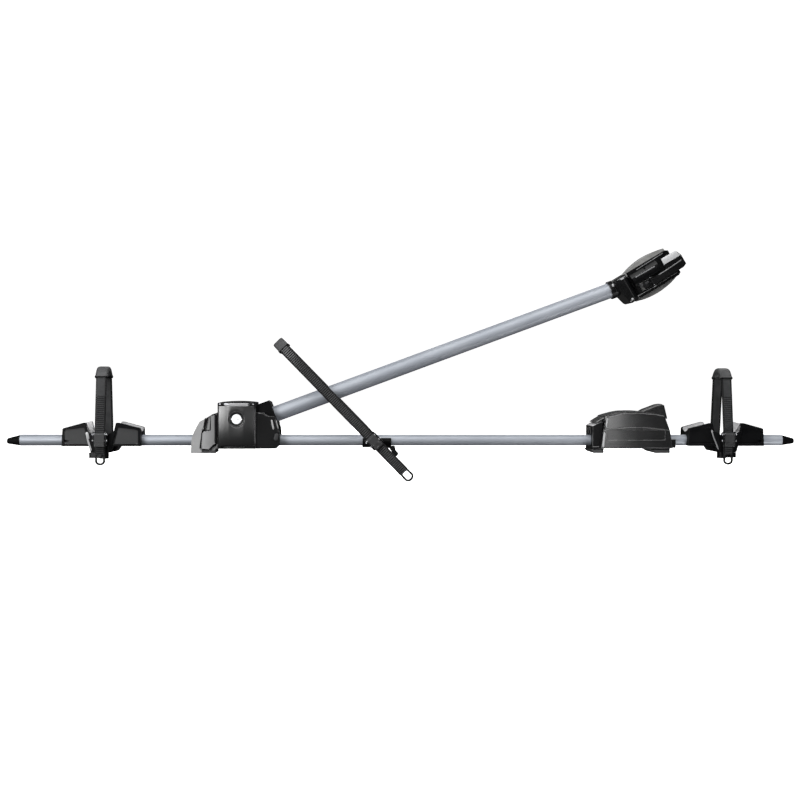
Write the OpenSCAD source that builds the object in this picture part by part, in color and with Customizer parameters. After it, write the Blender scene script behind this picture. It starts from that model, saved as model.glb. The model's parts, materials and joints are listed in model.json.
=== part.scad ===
// Roof bike carrier: an oval rail on two feet that sit on the roof bars, a frame-holder arm
// hinged on the lockable front foot, two wheel holders that slide on the rail and three ribbed
// rubber straps with lever buckles.
// X runs along the rail towards its rear end, Y across it and Z up.
// The origin is the middle of the front foot's seat, where it stands on the roof bar.

/* [Rail] */
// Length of the rail ahead of the front foot's middle, cap included
front_overhang = 406; // [390:1:430]
// Length of the rail behind the rear foot's middle, cap included
rear_overhang = 313; // [300:1:340]
// Width of the oval rail, across the carrier
rail_width = 30; // [28:0.5:31]
// Height of the oval rail
rail_height = 19; // [17:0.5:20]
// Wall of the rail tube
rail_wall = 1.8; // [1.2:0.1:3]
// Length of each end cap outside the tube
cap_length = 24; // [16:1:30]
// Height of an end cap at its tip
cap_tip_height = 11.4; // [8:0.2:14]

/* [Feet] */
// Distance between the middles of the two feet
foot_spacing = 693; // [620:1:780]
// Half the distance between the two roof bar bolts of a foot
bolt_half = 28; // [27.5:0.1:28.5]
// Radius of the holes for the roof bar bolts
bolt_hole_r = 3.3; // [3:0.1:4.2]
// Thickness of the steel base plates
plate_t = 2; // [1.5:0.1:2.5]
// Thickness of the rubber seat pads
pad_t = 1.5; // [1:0.1:2]
// How far the rubber-shod legs reach down beside the roof bar
leg_drop = 8.4; // [6:0.2:12]
// Height of the clamp knobs
knob_height = 29; // [22:1:31]

/* [Front foot] */
// Length of the tower behind the lock flap
tower_length = 66; // [65:0.5:70]
// Height of the tower at its middle
tower_height = 82.4; // [82:0.2:88]
// Depth of the tower across the rail
tower_depth = 84; // [82:0.5:90]
// Length of the flank ahead of the tower
wing_length = 48.5; // [44:0.5:54]
// Height of the flank where it meets the tower
wing_height = 62.5; // [58:0.5:68]
// Depth of the flank across the rail
wing_depth = 72; // [68:0.5:78]
// Depth over the two side covers beside the arm's knuckle
side_depth = 76; // [75:0.5:82]
// Length of the side covers behind the tower
side_length = 42; // [40:0.5:46]

/* [Lock flap] */
// Width of the lock flap
flap_width = 62.6; // [60:0.2:64]
// Height of the flap's lower edge above the seat
flap_bottom = 5.7; // [5:0.1:8]
// Radius of the lock's cylinder
lock_r = 8.6; // [7:0.1:9]
// Height of the lock's middle above the seat
lock_height = 52; // [50:0.5:54]
// Reach of the lock's tongue
tongue_reach = 17.6; // [16.8:0.2:18]

/* [Arm] */
// Distance of the arm's pivot behind the middle of the front foot
pivot_x = 36; // [36:0.1:37]
// Height of the arm's pivot above the seat
pivot_z = 48.7; // [48.6:0.1:50]
// Radius of the pivot bolt
pivot_r = 5; // [4:0.1:6]
// Angle of the arm above the rail
arm_angle = 20.4; // [18:0.1:30]
// Radius of the arm's tube
arm_r = 14; // [12:0.1:15]
// Wall of the arm's tube
arm_wall = 1.6; // [1.2:0.1:2.5]
// Distance from the pivot to the middle of the frame clamp
arm_reach = 743.5; // [735:0.5:760]
// Width of the knuckle between the bracket's ears
knuckle_width = 57; // [54:0.5:57]
// Radius of the knuckle round the pivot
knuckle_r = 24; // [23:0.1:24.2]

/* [Frame clamp] */
// Angle of the frame clamp above the arm
head_tilt = 10.6; // [6:0.1:16]
// Half the height of the two jaws
jaw_half = 25.5; // [24:0.1:27]
// Gap between the two rubber jaw pads
jaw_gap = 20; // [16:0.5:24]
// Thickness of the jaw pads
jaw_pad_t = 5; // [3:0.1:6]
// Half the height of the lens-shaped jaw pads
jaw_pad_half = 34.5; // [31:0.5:36]
// Depth of each jaw behind its pad
jaw_depth = 12; // [11:0.1:13]
// Radius of the tie rod through the jaws
tie_r = 3.5; // [2.5:0.1:3.6]

/* [Rear foot] */
// Length of the cover ahead of the foot's middle, at its base
cover_front = 48; // [46:0.5:52]
// Length of the cover behind the foot's middle, at its base
cover_rear = 81; // [79:0.5:84]
// Height of the cover's crown
cover_height = 66.2; // [62:0.2:70]
// Depth of the cover across the rail
cover_depth = 80; // [80:0.5:88]
// Wall of the cover
cover_wall = 2; // [1.6:0.1:2.1]
// Height of the fin at the cover's rear end
fin_height = 79; // [74:0.5:82]

/* [Wheel holders] */
// Place of the front wheel holder's middle along the rail
front_holder_x = -237; // [-250:1:-225]
// Distance from the rear foot's middle to the rear wheel holder's middle
rear_holder_gap = 181; // [181:1:195]
// Length of a wheel holder along the rail
holder_length = 137; // [130:1:137]
// Depth of a wheel holder across the rail
holder_depth = 62; // [60:0.5:68]
// Height of a wheel holder's two humps
holder_height = 45; // [43:0.5:50]
// Radius of the groove that the tyre lies in
tyre_r = 27; // [24:0.5:28]
// Reach of the clamp handle under a wheel holder
handle_reach = 27; // [20:0.5:27]

/* [Straps] */
// Width of the rubber straps
strap_width = 18.4; // [16:0.2:19.4]
// Thickness of the rubber straps without their ribs
strap_t = 3.4; // [2.6:0.1:3.6]
// Height of the ribs across the straps
rib_height = 0.8; // [0.4:0.1:1]
// Distance from one rib to the next
rib_pitch = 4.2; // [3:0.1:6]
// Radius of the strap's bend under its pad
loop_r = 27; // [24:0.5:30]
// Height of a wheel strap's top above the seat
wheel_strap_top = 142; // [130:1:170]
// Length of a wheel strap's tail below its buckle
wheel_tail = 13; // [10:1:20]
// Length of the third strap from the rail to its top
third_strap_length = 245; // [235:1:260]
// Length of the third strap's tail below its buckle
third_tail = 62; // [40:1:80]
// Place of the third strap's clip along the rail
third_x = 241; // [241:1:260]
// Angle between the third strap and the rail
third_angle = 45.7; // [42:0.1:50]
// Radius of the pull rings at the straps' ends
ring_r = 8; // [7:0.1:9]

/* [Hidden] */
$fn = 64;

// Clearances
slip = 0.3;          // between pieces that slide or turn past each other
fit = 0.05;          // round a pin or bolt that turns in its hole
seat_gap = 0.2;      // between the base plates and the rail
eps = 0.01;

// Rail
spine_half = rail_width / 2 + 3;
cover_skin = 1.4;
rail_lift = pad_t + plate_t + seat_gap;
rail_z = rail_lift + rail_height / 2;
rail_top = rail_lift + rail_height;
rail_x0 = -front_overhang;
rail_x1 = foot_spacing + rear_overhang;
cap_tip_width = rail_width * 0.6;
cap_tip_drop = 1.7;
cap_tip_round = 2.4;
plug_length = 18;

// Front foot
tower_half = tower_length / 2;
wing_x = -tower_half - wing_length;
side_x = tower_half + side_length;
spine_x = side_x - 8;
flap_gap = 0.6;
flap_half = flap_width / 2;
flap_t = 3.2;
flap_crown_r = 300;
hinge_bar_r = 2.6;
hinge_pin_r = 1.5;
hinge_bar_half = 21.4;
flap_recess = 4;
tower_front = -tower_depth / 2;
hinge_y = tower_front + 1.4;
hinge_z = tower_height - 4.4;
flap_top = hinge_z - 3;
flap_inner = tower_front + 0.4;
flap_outer = flap_inner - flap_t;
frame_side = tower_half - flap_half - flap_gap;
cover_inner = cover_depth / 2 - cover_skin - cover_wall;
knob_gap = 0.4;
knob_r = min(cover_inner - bolt_half - knob_gap, bolt_half - spine_half - 2 * slip);
chamber_x0 = -tower_half + 5;
chamber_x1 = max(knob_r, lock_r) + 5.4;
chamber_y = rail_width / 2 + 2.6;
boss_r = lock_r + 2.2;
tongue_t = 3;
tongue_y = flap_inner + 6;
catch_gap = 0.8;
tongue_width = 8;
ear_t = 3;
ear_y = knuckle_width / 2 + 0.5;
ear_r = 11;
sweep_r = knuckle_r + 4.6;
plate_x0 = -tower_half - 1;
plate_x1 = spine_x - 3;
plate_half = ear_y + ear_t;
bowed_top_r = 260;
bolt_head_r = pivot_r + 4;
bolt_head_t = 3.6;

// Arm and frame clamp
tube_start = 8;
knuckle_end = 32;
knuckle_top = 27;
collar_u = arm_reach - 71.6;
collar_length = 19.4;
collar_r = arm_r + 2.5;
head_root = -54;
jaw_root = -36;
near_jaw_root = jaw_root + 4.5;
jaw_tip = 52;
jaw_y = jaw_gap / 2 + jaw_pad_t;
jaw_back = jaw_y + jaw_depth;
swing_u = -42;
swing_y = -(jaw_y + 3);
swing_r = 9;
swing_pin_r = 2.5;
strip_width = 6;
pad_bow_r = 131;
pad_crest_top = 14;
pad_crest_bottom = 0;
barrel_end = 22;
far_barrel_end = 40;
pad_groove_start = 0;
pad_groove_pitch = 6;
barrel_r = 17;
tie_u = -15.5;
tie_v = -10;
lever_u = -2;
lever_y = -(jaw_back + 3);
lever_pin_r = 2;
lever_half = 7;
grip_ridge = 4.5;
grip_top = 16;
lever_tip = 66.5;

// Rear foot
rear_x = foot_spacing;
rear_plate_x0 = -40;
rear_plate_x1 = 40;
crown_r = 166;
crown_x = 14.5;
lip_r = 101;
lip_reach = cover_front + 9;
block_front = -cover_front - 13.5;
block_half = 30;
foot_half = 33;
foot_rear = cover_rear - 4;
base_drop = 22;
field_inset = 11;
step_r = 363;

// Wheel holders
rear_holder_x = foot_spacing + rear_holder_gap;
holder_wall = 4.5;
groove_floor = 6;
clamp_z = -6.8;
clamp_arm_foot = 18;
clamp_proud = 3;
clamp_step_half = rail_width / 2 + 3;
jaw_slot_half = rail_width / 2 - 4;
screw_r = 3;

// Buckles, all measured from the strap's own plane at the buckle
buckle_half = strap_width / 2 + slip;
buckle_wall = 2;
strap_y = holder_depth / 2 + 8;
pin_r = 1.6;
base_plate_t = 2.4;
wheel_buckle_z = 17.5;
anchor_z = -13.5;
grip_half = 14;
lug_t = 3;
lug_r = 4;
lever_pin_y = strap_t / 2 + rib_height + 3.8;
guide_pin_y = strap_t / 2 + rib_height + slip + pin_r;
buckle_lever_t = 2.8;
buckle_lever_low = -13.5;
pad_wall = 1.9;
pad_reach = 69;
smooth_length = 16;

housing_black = "#2b2c2e";
gloss_black = "#222326";
dark_grey = "#3a3c40";
rubber_black = "#303133";
rail_blue = "#8d95a3";
steel = "#b9bcc0";
pad_grey = "#a9aaa8";

// Shared shapes

module span_x(x0, x1) {
    translate([x0, 0, 0]) rotate([90, 0, 90]) linear_extrude(x1 - x0) children();
}

module span_y(y0, y1) {
    translate([0, y1, 0]) rotate([90, 0, 0]) linear_extrude(y1 - y0) children();
}

module block(x0, x1, y0, y1, z0, z1) {
    translate([x0, y0, z0]) cube([x1 - x0, y1 - y0, z1 - z0]);
}

module rod_x(x0, x1, r) {
    translate([x0, 0, 0]) rotate([0, 90, 0]) cylinder(h = x1 - x0, r = r);
}

module rod_y(y0, y1, r) {
    translate([0, y0, 0]) rotate([-90, 0, 0]) cylinder(h = y1 - y0, r = r);
}

module both_sides() {
    children();
    mirror([0, 1, 0]) children();
}

// Oval section of the rail, in the YZ plane, grown by a clearance or shrunk by a wall
module rail_section(grow = 0) {
    r = rail_height / 2;
    flat = rail_width / 2 - r;
    translate([0, rail_z]) {
        translate([-flat, 0]) circle(r + grow);
        translate([flat, 0]) circle(r + grow);
        translate([-flat, -r - grow]) square([2 * flat, 2 * (r + grow)]);
    }
}

module rounded(r) {
    offset(r = r, $fn = 24) offset(delta = -r) children();
}

// A slab across the rail whose near and far edges are rounded off
module cushion(depth, r) {
    hull() {
        for (a = [0 : 30 : 90]) {
            half = depth / 2 - r * (1 - sin(a));
            span_y(-half, half) offset(delta = -r * (1 - cos(a))) children();
        }
    }
}

module arm_frame() {
    translate([pivot_x, 0, pivot_z]) rotate([0, -arm_angle, 0]) children();
}

// Frame of the clamp: X along it towards the tip, Z across it, in the arm's plane
module head_frame() {
    arm_frame() translate([arm_reach, 0, 0]) rotate([0, -head_tilt, 0]) children();
}

// Rail

module rail() {
    color(rail_blue) difference() {
        span_x(rail_x0 + cap_length, rail_x1 - cap_length) rail_section();
        span_x(rail_x0, rail_x1) rail_section(-rail_wall);
        for (x = screw_places()) translate([x, 0, 0]) cylinder(h = rail_z, r = 3 + fit);
    }
}

function screw_places() = [plate_x0 + 12, plate_x1 - 10];

module rail_cap() {
    hull() {
        span_x(cap_length - 4, cap_length) rail_section(-0.2, $fn = 32);
        cap_tip(0, 1.2, cap_tip_round);
        cap_tip(cap_tip_round, cap_tip_round + 1, 0);
    }
    span_x(cap_length - eps, cap_length + plug_length) rail_section(-rail_wall - 0.1);
}

// Flat-sided tip of a cap, set a little below the rail's middle
module cap_tip(x0, x1, inset) {
    half_width = cap_tip_width / 2 - inset;
    half_height = cap_tip_height / 2 - inset;
    middle = rail_z - cap_tip_drop;
    block(x0, x1, -half_width, half_width, middle - half_height, middle + half_height);
}

module rail_cap_front() {
    color(gloss_black) translate([rail_x0, 0, 0]) rail_cap();
}

module rail_cap_rear() {
    color(gloss_black) translate([rail_x1, 0, 0]) mirror([1, 0, 0]) rail_cap();
}

// Front foot

// Side view of the flank: it climbs from the leg in a bulging curve and ends in a stepped lip
module wing_outline() {
    x = function (share) wing_x + share * wing_length;
    z = function (share) share * wing_height;
    polygon([
        [x(0), -leg_drop], [x(0.035), z(0.28)], [x(0.105), z(0.44)], [x(0.2), z(0.59)],
        [x(0.31), z(0.72)], [x(0.31), z(0.745)], [x(0.55), z(0.845)], [x(0.69), z(0.92)],
        [x(0.9), z(0.995)], [x(1.06), z(1)], [x(1.06), 0], [x(0.9), 0], [x(0.88), -3],
        [x(0.42), -3], [x(0.42), -leg_drop]
    ]);
}

// Outer shell of the flank, which stands proud of the inner panel
module wing_shell_outline() {
    x = function (share) wing_x + share * wing_length;
    z = function (share) share * wing_height;
    intersection() {
        wing_outline();
        polygon([
            [x(-0.1), -leg_drop], [x(0.4), -leg_drop], [x(0.4), z(0.07)], [x(0.33), z(0.07)],
            [x(0.42), z(0.55)], [x(0.5), z(0.56)], [x(0.6), z(1)], [x(-0.1), z(1)]
        ]);
    }
}

module tower_outline() {
    intersection() {
        translate([-tower_half, 0]) square([tower_length, tower_height]);
        translate([0, tower_height - bowed_top_r]) circle(bowed_top_r, $fn = 256);
    }
}

module ear_outline(grow = 0) {
    foot = ear_r + 9;
    translate([pivot_x, pivot_z]) circle(ear_r + grow);
    polygon([
        [pivot_x - foot - grow, pad_t], [pivot_x + foot + grow, pad_t],
        [pivot_x + foot + grow, pad_t + 9], [pivot_x + ear_r + grow, pivot_z],
        [pivot_x - ear_r - grow, pivot_z], [pivot_x - foot - grow, pad_t + 9]
    ]);
}

// Steel channel under the tower: base plate on the roof bar with two ears that carry the pivot
module front_bracket() {
    color(steel) difference() {
        union() {
            block(plate_x0, plate_x1, -plate_half, plate_half, pad_t, pad_t + plate_t);
            both_sides() span_y(ear_y, ear_y + ear_t) ear_outline();
        }
        translate([pivot_x, 0, pivot_z]) rod_y(-plate_half - 1, plate_half + 1, pivot_r + fit);
        for (side = [-1, 1]) translate([0, side * bolt_half, 0]) cylinder(h = 10, r = bolt_hole_r);
        for (x = screw_places()) translate([x, 0, 0]) cylinder(h = 10, r = 3 + fit);
    }
}

// Space that the knuckle and the arm sweep between the ears
module knuckle_space() {
    span_y(-ear_y, ear_y) {
        translate([pivot_x, pivot_z]) circle(sweep_r);
        translate([pivot_x, rail_top + 1]) square([side_x + 20, tower_height]);
        translate([pivot_x - sweep_r, pivot_z]) square([side_x + 20, tower_height]);
    }
}

module front_housing() {
    color(housing_black) difference() {
        union() {
            span_y(-wing_depth / 2 + 2, wing_depth / 2 - 2) wing_outline();
            span_y(-wing_depth / 2, wing_depth / 2) wing_shell_outline();
            span_y(tower_front, -tower_front) tower_outline();
            block(tower_half - 1, spine_x, -ear_y + 1, ear_y - 1, 0, rail_z + 6);
            span_y(-20, 20) polygon([
                [spine_x - 4, 2], [spine_x + 4, 2], [side_x, 6], [side_x, rail_z + 9],
                [spine_x + 5, rail_z + 12], [spine_x - 4, rail_z + 12]
            ]);
        }
        span_x(wing_x - 1, side_x + 20) rail_section(0.25);
        block(plate_x0 - slip, plate_x1 + slip, -plate_half - slip, plate_half + slip, -eps,
            pad_t + plate_t + seat_gap / 2);
        both_sides() span_y(ear_y - eps, ear_y + ear_t + slip) ear_outline(slip);
        knuckle_space();
        flap_recess_space();
        // Chambers over the roof bar bolts: the near one is closed by the flap, the far one is open
        block(chamber_x0, chamber_x1, tower_front - 1, -chamber_y, pad_t, flap_top - 4);
        block(chamber_x0, chamber_x1, chamber_y, -tower_front + 1, pad_t, flap_top - 4);
        tongue_slot();
        wing_windows();
        translate([pivot_x, 0, pivot_z])
            rod_y(-plate_half - bolt_head_t - 1, plate_half + bolt_head_t + 1, bolt_head_r + 1);
    }
    color(housing_black) difference() {
        flap_lugs();
        translate([0, hinge_y, hinge_z]) rod_x(-tower_half, tower_half, hinge_pin_r + fit);
    }
}

module flap_recess_space() {
    half = flap_half + flap_gap;
    block(-half, half, tower_front - 1, tower_front + flap_recess, flap_bottom - flap_gap,
        hinge_z - hinge_bar_r);
    block(-hinge_bar_half - slip, hinge_bar_half + slip, tower_front - 1, tower_front + flap_recess,
        hinge_z - hinge_bar_r - eps, hinge_z + hinge_bar_r + slip);
    translate([0, hinge_y, hinge_z]) rod_x(-half, half, hinge_pin_r + fit);
}

// Lugs at both ends of the flap's hinge bar, which hold its pin
module flap_lugs() {
    for (side = [-1, 1]) {
        translate([side * (hinge_bar_half + slip + 3), hinge_y, hinge_z]) rod_x(-2.9, 2.9, 2.2);
    }
}

// Slot beside the chamber that the turned tongue enters, open below like a moulded undercut
module tongue_slot() {
    block(chamber_x1 - eps, tongue_reach + 1.4, tongue_y - catch_gap, tongue_y + tongue_t + catch_gap,
        -leg_drop - 1, lock_height + tongue_width / 2 + 1.5);
}

// Sunk window and the slot beside the tower, on both faces of the flank
module wing_windows() {
    x = function (share) wing_x + share * wing_length;
    z = function (share) share * wing_height;
    both_sides() span_y(wing_depth / 2 - 7, wing_depth / 2 + 1) {
        polygon([[x(0.5), z(0.5)], [x(0.74), z(0.5)], [x(0.74), z(0.92)], [x(0.6), z(0.87)]]);
        translate([x(0.94), 0]) square([2, wing_height + 1]);
        polygon([[x(0.68), -4], [x(0.96), z(0.2)], [x(0.96), -4]]);
    }
}

// Outline of a side cover, whose rear edge leans forward as it climbs
module side_outline() {
    polygon([
        [tower_half + 0.2, 0], [tower_half + 0.2, pivot_z + 14.6], [pivot_x + 11.7, pivot_z + 14.7],
        [pivot_x + 14, pivot_z + 9], [pivot_x + 30, pivot_z + 7.6], [side_x - 1, pivot_z - 14],
        [side_x, pivot_z - 24], [side_x, 7], [side_x - 6, 0]
    ]);
}

module side_cover() {
    difference() {
        span_y(ear_y + ear_t + slip, side_depth / 2) side_outline();
        translate([pivot_x, 0, pivot_z]) rod_y(0, plate_half + bolt_head_t + 0.6, bolt_head_r + 1);
        span_y(side_depth / 2 - 1, side_depth / 2 + 1) side_groove();
    }
}

// Shallow step along the top of a side cover
module side_groove() {
    difference() {
        translate([tower_half + 3, 0]) square([side_length, pivot_z + 2]);
        offset(delta = -2.5) side_outline();
        translate([tower_half, 0]) square([side_length + 10, pivot_z - 18]);
    }
}

module front_side_cover_near() {
    color(dark_grey) mirror([0, 1, 0]) side_cover();
}

module front_side_cover_far() {
    color(dark_grey) side_cover();
}

module front_seat_pad() {
    color(rubber_black) difference() {
        block(plate_x0, plate_x1, -plate_half, plate_half, 0, pad_t);
        for (side = [-1, 1]) {
            translate([0, side * bolt_half, -1]) cylinder(h = 10, r = bolt_hole_r + 1.5);
        }
        for (x = screw_places()) translate([x, 0, -1]) cylinder(h = 10, r = 6);
    }
}

module front_leg_pad() {
    x0 = wing_x + 0.42 * wing_length + 0.1;
    x1 = wing_x + 0.88 * wing_length;
    color(rubber_black) {
        block(x0, x1, -wing_depth / 2 + 4, wing_depth / 2 - 4, -leg_drop, -3);
        for (y = [-wing_depth / 2 + 4 : 8 : wing_depth / 2 - 10]) {
            block(x1 - eps, x1 + 1, y, y + 4, -leg_drop, -3.5);
        }
    }
}

module front_rail_screws() {
    color(steel) for (x = screw_places()) translate([x, 0, 0]) {
        translate([0, 0, 0.2]) cylinder(h = pad_t - 0.2, r = 5);
        translate([0, 0, pad_t - eps]) cylinder(h = 12, r = 3);
    }
}

module front_flap() {
    neck_top = hinge_z + 1;
    color(gloss_black) difference() {
        union() {
            translate([0, 0, flap_bottom]) linear_extrude(flap_top - flap_bottom) intersection() {
                translate([-flap_half, flap_outer - 1]) square([flap_width, flap_t + 1]);
                translate([0, flap_outer + flap_crown_r]) circle(flap_crown_r, $fn = 256);
            }
            block(-hinge_bar_half, hinge_bar_half, hinge_y - 2, hinge_y + 2, flap_top - 4, neck_top - 1);
            translate([0, hinge_y, hinge_z]) rod_x(-hinge_bar_half, hinge_bar_half, hinge_bar_r);
            translate([0, 0, lock_height]) rod_y(flap_inner - 1, flap_inner + 5, boss_r);
        }
        translate([0, hinge_y, hinge_z]) rod_x(-tower_half, tower_half, hinge_pin_r + fit);
        translate([0, 0, lock_height]) {
            rod_y(flap_outer - 2, flap_inner + 6, lock_r + fit);
            rod_y(flap_outer - 2, flap_outer + 2, lock_r + 4);
            translate([0, flap_outer - 0.6, 0]) rotate([-90, 0, 0])
                cylinder(h = 3, r1 = lock_r + 7, r2 = lock_r + 4);
        }
    }
}

module flap_hinge_pin() {
    color(steel) translate([0, hinge_y, hinge_z]) rod_x(-flap_half + 1, flap_half - 1, hinge_pin_r);
}

// Lock cylinder with a flat grip across its face and a keyhole in it
module lock_core() {
    face = flap_outer + 1.6;
    color(steel) translate([0, 0, lock_height]) difference() {
        union() {
            rod_y(face, flap_inner + 6, lock_r);
            span_y(face - 1.6, face + 0.2) intersection() {
                circle(lock_r + 3);
                union() {
                    circle(lock_r - 0.6);
                    translate([-lock_r - 3, -2.4]) square([2 * lock_r + 6, 4.8]);
                }
            }
        }
        block(1, 5.4, face - 3, face + 5, -0.8, 0.8);
    }
}

module lock_tongue() {
    color(steel) translate([0, 0, lock_height]) {
        span_y(tongue_y, tongue_y + tongue_t) {
            circle(6);
            translate([-tongue_width / 2, -tongue_reach]) square([tongue_width, tongue_reach]);
        }
        rod_y(flap_inner + 6, tongue_y + 0.5, 5);
        rod_y(tongue_y + tongue_t - eps, tongue_y + tongue_t + 2, 3.5);
    }
}

// Clamp knob that screws onto a roof bar bolt
module clamp_knob() {
    lobes = 6;
    z0 = pad_t + plate_t + slip;
    difference() {
        union() {
            translate([0, 0, z0]) cylinder(h = 3, r = knob_r - 1);
            translate([0, 0, z0 + 2]) linear_extrude(knob_height - 2) {
                circle(knob_r - 1.6);
                for (i = [0 : lobes - 1]) {
                    rotate(i * 360 / lobes) translate([knob_r - 2.4, 0]) circle(2.4);
                }
            }
        }
        translate([0, 0, z0 - 1]) cylinder(h = knob_height + 4, r = bolt_hole_r);
        translate([0, 0, z0 + knob_height - 6]) cylinder(h = 7, r = bolt_hole_r + 2);
    }
}

module front_knob_near() {
    color(rubber_black) translate([0, -bolt_half, 0]) clamp_knob();
}

module front_knob_far() {
    color(rubber_black) translate([0, bolt_half, 0]) clamp_knob();
}

// Arm

module knuckle_outline() {
    circle(knuckle_r);
    polygon([
        [-knuckle_r * 0.62, knuckle_r * 0.78], [-2, knuckle_top - 0.6], [1, knuckle_top],
        [knuckle_end - 4, knuckle_top], [knuckle_end, knuckle_top - 4],
        [knuckle_end, 5 - knuckle_r], [knuckle_end - 9, -knuckle_r], [0, -knuckle_r]
    ]);
}

module arm_knuckle() {
    color(gloss_black) arm_frame() difference() {
        span_y(-knuckle_width / 2, knuckle_width / 2) knuckle_outline();
        rod_y(-knuckle_width, knuckle_width, pivot_r + fit);
        rod_x(tube_start, knuckle_end + 1, arm_r + fit);
    }
}

module arm_pivot_bolt() {
    color(steel) translate([pivot_x, 0, pivot_z]) {
        rod_y(-plate_half - 0.1, plate_half + bolt_head_t + 0.2, pivot_r);
        translate([0, -plate_half - 0.1 - bolt_head_t, 0]) rotate([-90, 0, 0])
            cylinder(h = bolt_head_t + eps, r = bolt_head_r, $fn = 6);
    }
}

module arm_pivot_nut() {
    color(steel) translate([pivot_x, plate_half + 0.1, pivot_z]) rotate([-90, 0, 0]) difference() {
        cylinder(h = bolt_head_t, r = bolt_head_r, $fn = 6);
        translate([0, 0, -1]) cylinder(h = 8, r = pivot_r + 0.02);
    }
}

module arm_tube() {
    color(rail_blue) arm_frame() difference() {
        rod_x(tube_start + 0.2, collar_u + collar_length - 2, arm_r);
        rod_x(tube_start - 1, collar_u + collar_length, arm_r - arm_wall);
    }
}

module head_collar() {
    color(dark_grey) arm_frame() difference() {
        union() {
            rod_x(collar_u, collar_u + 9, collar_r);
            rod_x(collar_u + 8, collar_u + collar_length - 2, collar_r - 1);
        }
        rod_x(collar_u - 1, collar_u + collar_length + 1, arm_r + fit);
    }
}

// Frame clamp

// Side view of a jaw between two stations along the clamp
module jaw_outline(u0, u1) {
    tip = 5;
    polygon([
        [u0, -jaw_half], [u1 - tip, -jaw_half], [u1, -jaw_half + 3], [u1 - 1.5, 0],
        [u1, jaw_half - 3], [u1 - tip, jaw_half], [u0, jaw_half]
    ]);
}

// Outline of a jaw pad: the overlap of two large circles, cut off at both ends
module pad_outline(u0, u1) {
    intersection() {
        translate([pad_crest_top, jaw_pad_half - pad_bow_r]) circle(pad_bow_r, $fn = 180);
        translate([pad_crest_bottom, pad_bow_r - jaw_pad_half]) circle(pad_bow_r, $fn = 180);
        translate([u0, -jaw_pad_half]) square([u1 - u0, 2 * jaw_pad_half]);
    }
}

// Fine ribs along the jaws' upper and lower edge strips
module edge_ribs(u0, u1, y) {
    pitch = 3;
    for (v = [-1, 1], i = [0 : floor((u1 - u0 - 2) / pitch)]) {
        translate([u0 + 1 + i * pitch, y - 0.6, v * (jaw_half - strip_width / 2) - 2])
            cube([1.4, 0.61, 4]);
    }
}

// Channel-shaped jaw that opens towards its pad, with a rounded back between two flat strips
module jaw_shell(u0, u1) {
    back = jaw_half - strip_width;
    span_y(-jaw_back + 4, -jaw_y) difference() {
        jaw_outline(u0, u1);
        translate([u0 + 4, -back + 1]) square([u1 - u0 - 10, 2 * back - 2]);
    }
    span_y(-jaw_back, -jaw_back + 4) jaw_outline(u0, u1);
}

module near_jaw() {
    back = jaw_half - strip_width;
    color(gloss_black) head_frame() difference() {
        union() {
            jaw_shell(near_jaw_root, jaw_tip);
            edge_ribs(near_jaw_root + 3, jaw_tip - 4, -jaw_back);
            // Rounded back over the jaw's upper part
            intersection() {
                translate([0, -jaw_back + 10, 7]) rod_x(near_jaw_root, barrel_end, barrel_r);
                block(near_jaw_root, barrel_end, -jaw_back - 8, -jaw_back + 1, -3.5, back);
            }
            // Knuckle of the jaw's hinge
            translate([swing_u, swing_y, -jaw_half + 6]) cylinder(h = 2 * jaw_half - 12, r = swing_r);
            block(swing_u, near_jaw_root + 1, swing_y, -jaw_y, -jaw_half + 6, jaw_half - 6);
            // Lugs that carry the lever's pin
            for (v = [-1, 1]) lever_lug(v);
        }
        translate([swing_u, swing_y, -jaw_half]) cylinder(h = 2 * jaw_half, r = swing_pin_r + fit);
        // Window for the tie rod and the lever's fork
        block(tie_u - 9, lever_u + 6, -jaw_back - 12, -jaw_y + 1, tie_v - lever_half - 0.8,
            tie_v + lever_half + 0.8);
        translate([lever_u, lever_y, -jaw_half]) cylinder(h = 2 * jaw_half, r = lever_pin_r + fit);
    }
}

module lever_lug(v) {
    inner = lever_half + 0.8;
    z0 = v > 0 ? tie_v + inner : tie_v - inner - 4;
    translate([lever_u, lever_y, z0]) cylinder(h = 4, r = 4.4);
    block(lever_u - 4.4, lever_u + 4.4, lever_y, -jaw_back + 1, z0, z0 + 4);
}

module near_jaw_pad() {
    color(pad_grey) head_frame() difference() {
        span_y(-jaw_y, -jaw_y + jaw_pad_t) pad_outline(near_jaw_root + 1, jaw_tip - 2);
        block(tie_u - 9, lever_u + 6, -jaw_y - 1, 0, tie_v - lever_half - 0.8,
            tie_v + lever_half + 0.8);
        for (u = [pad_groove_start : pad_groove_pitch : jaw_tip - 12]) {
            block(u, u + 2, -jaw_y + jaw_pad_t - 1.2, 0, -jaw_half, jaw_half);
        }
    }
}

module far_jaw_pad() {
    color(pad_grey) head_frame() difference() {
        span_y(jaw_y - jaw_pad_t, jaw_y) pad_outline(jaw_root + 1, jaw_tip - 2);
        translate([tie_u, 0, tie_v]) rod_y(0, jaw_back, tie_r + 1);
        for (u = [pad_groove_start : pad_groove_pitch : jaw_tip - 12]) {
            block(u, u + 2, 0, jaw_y - jaw_pad_t + 1.2, -jaw_half, jaw_half);
        }
    }
}

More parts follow.
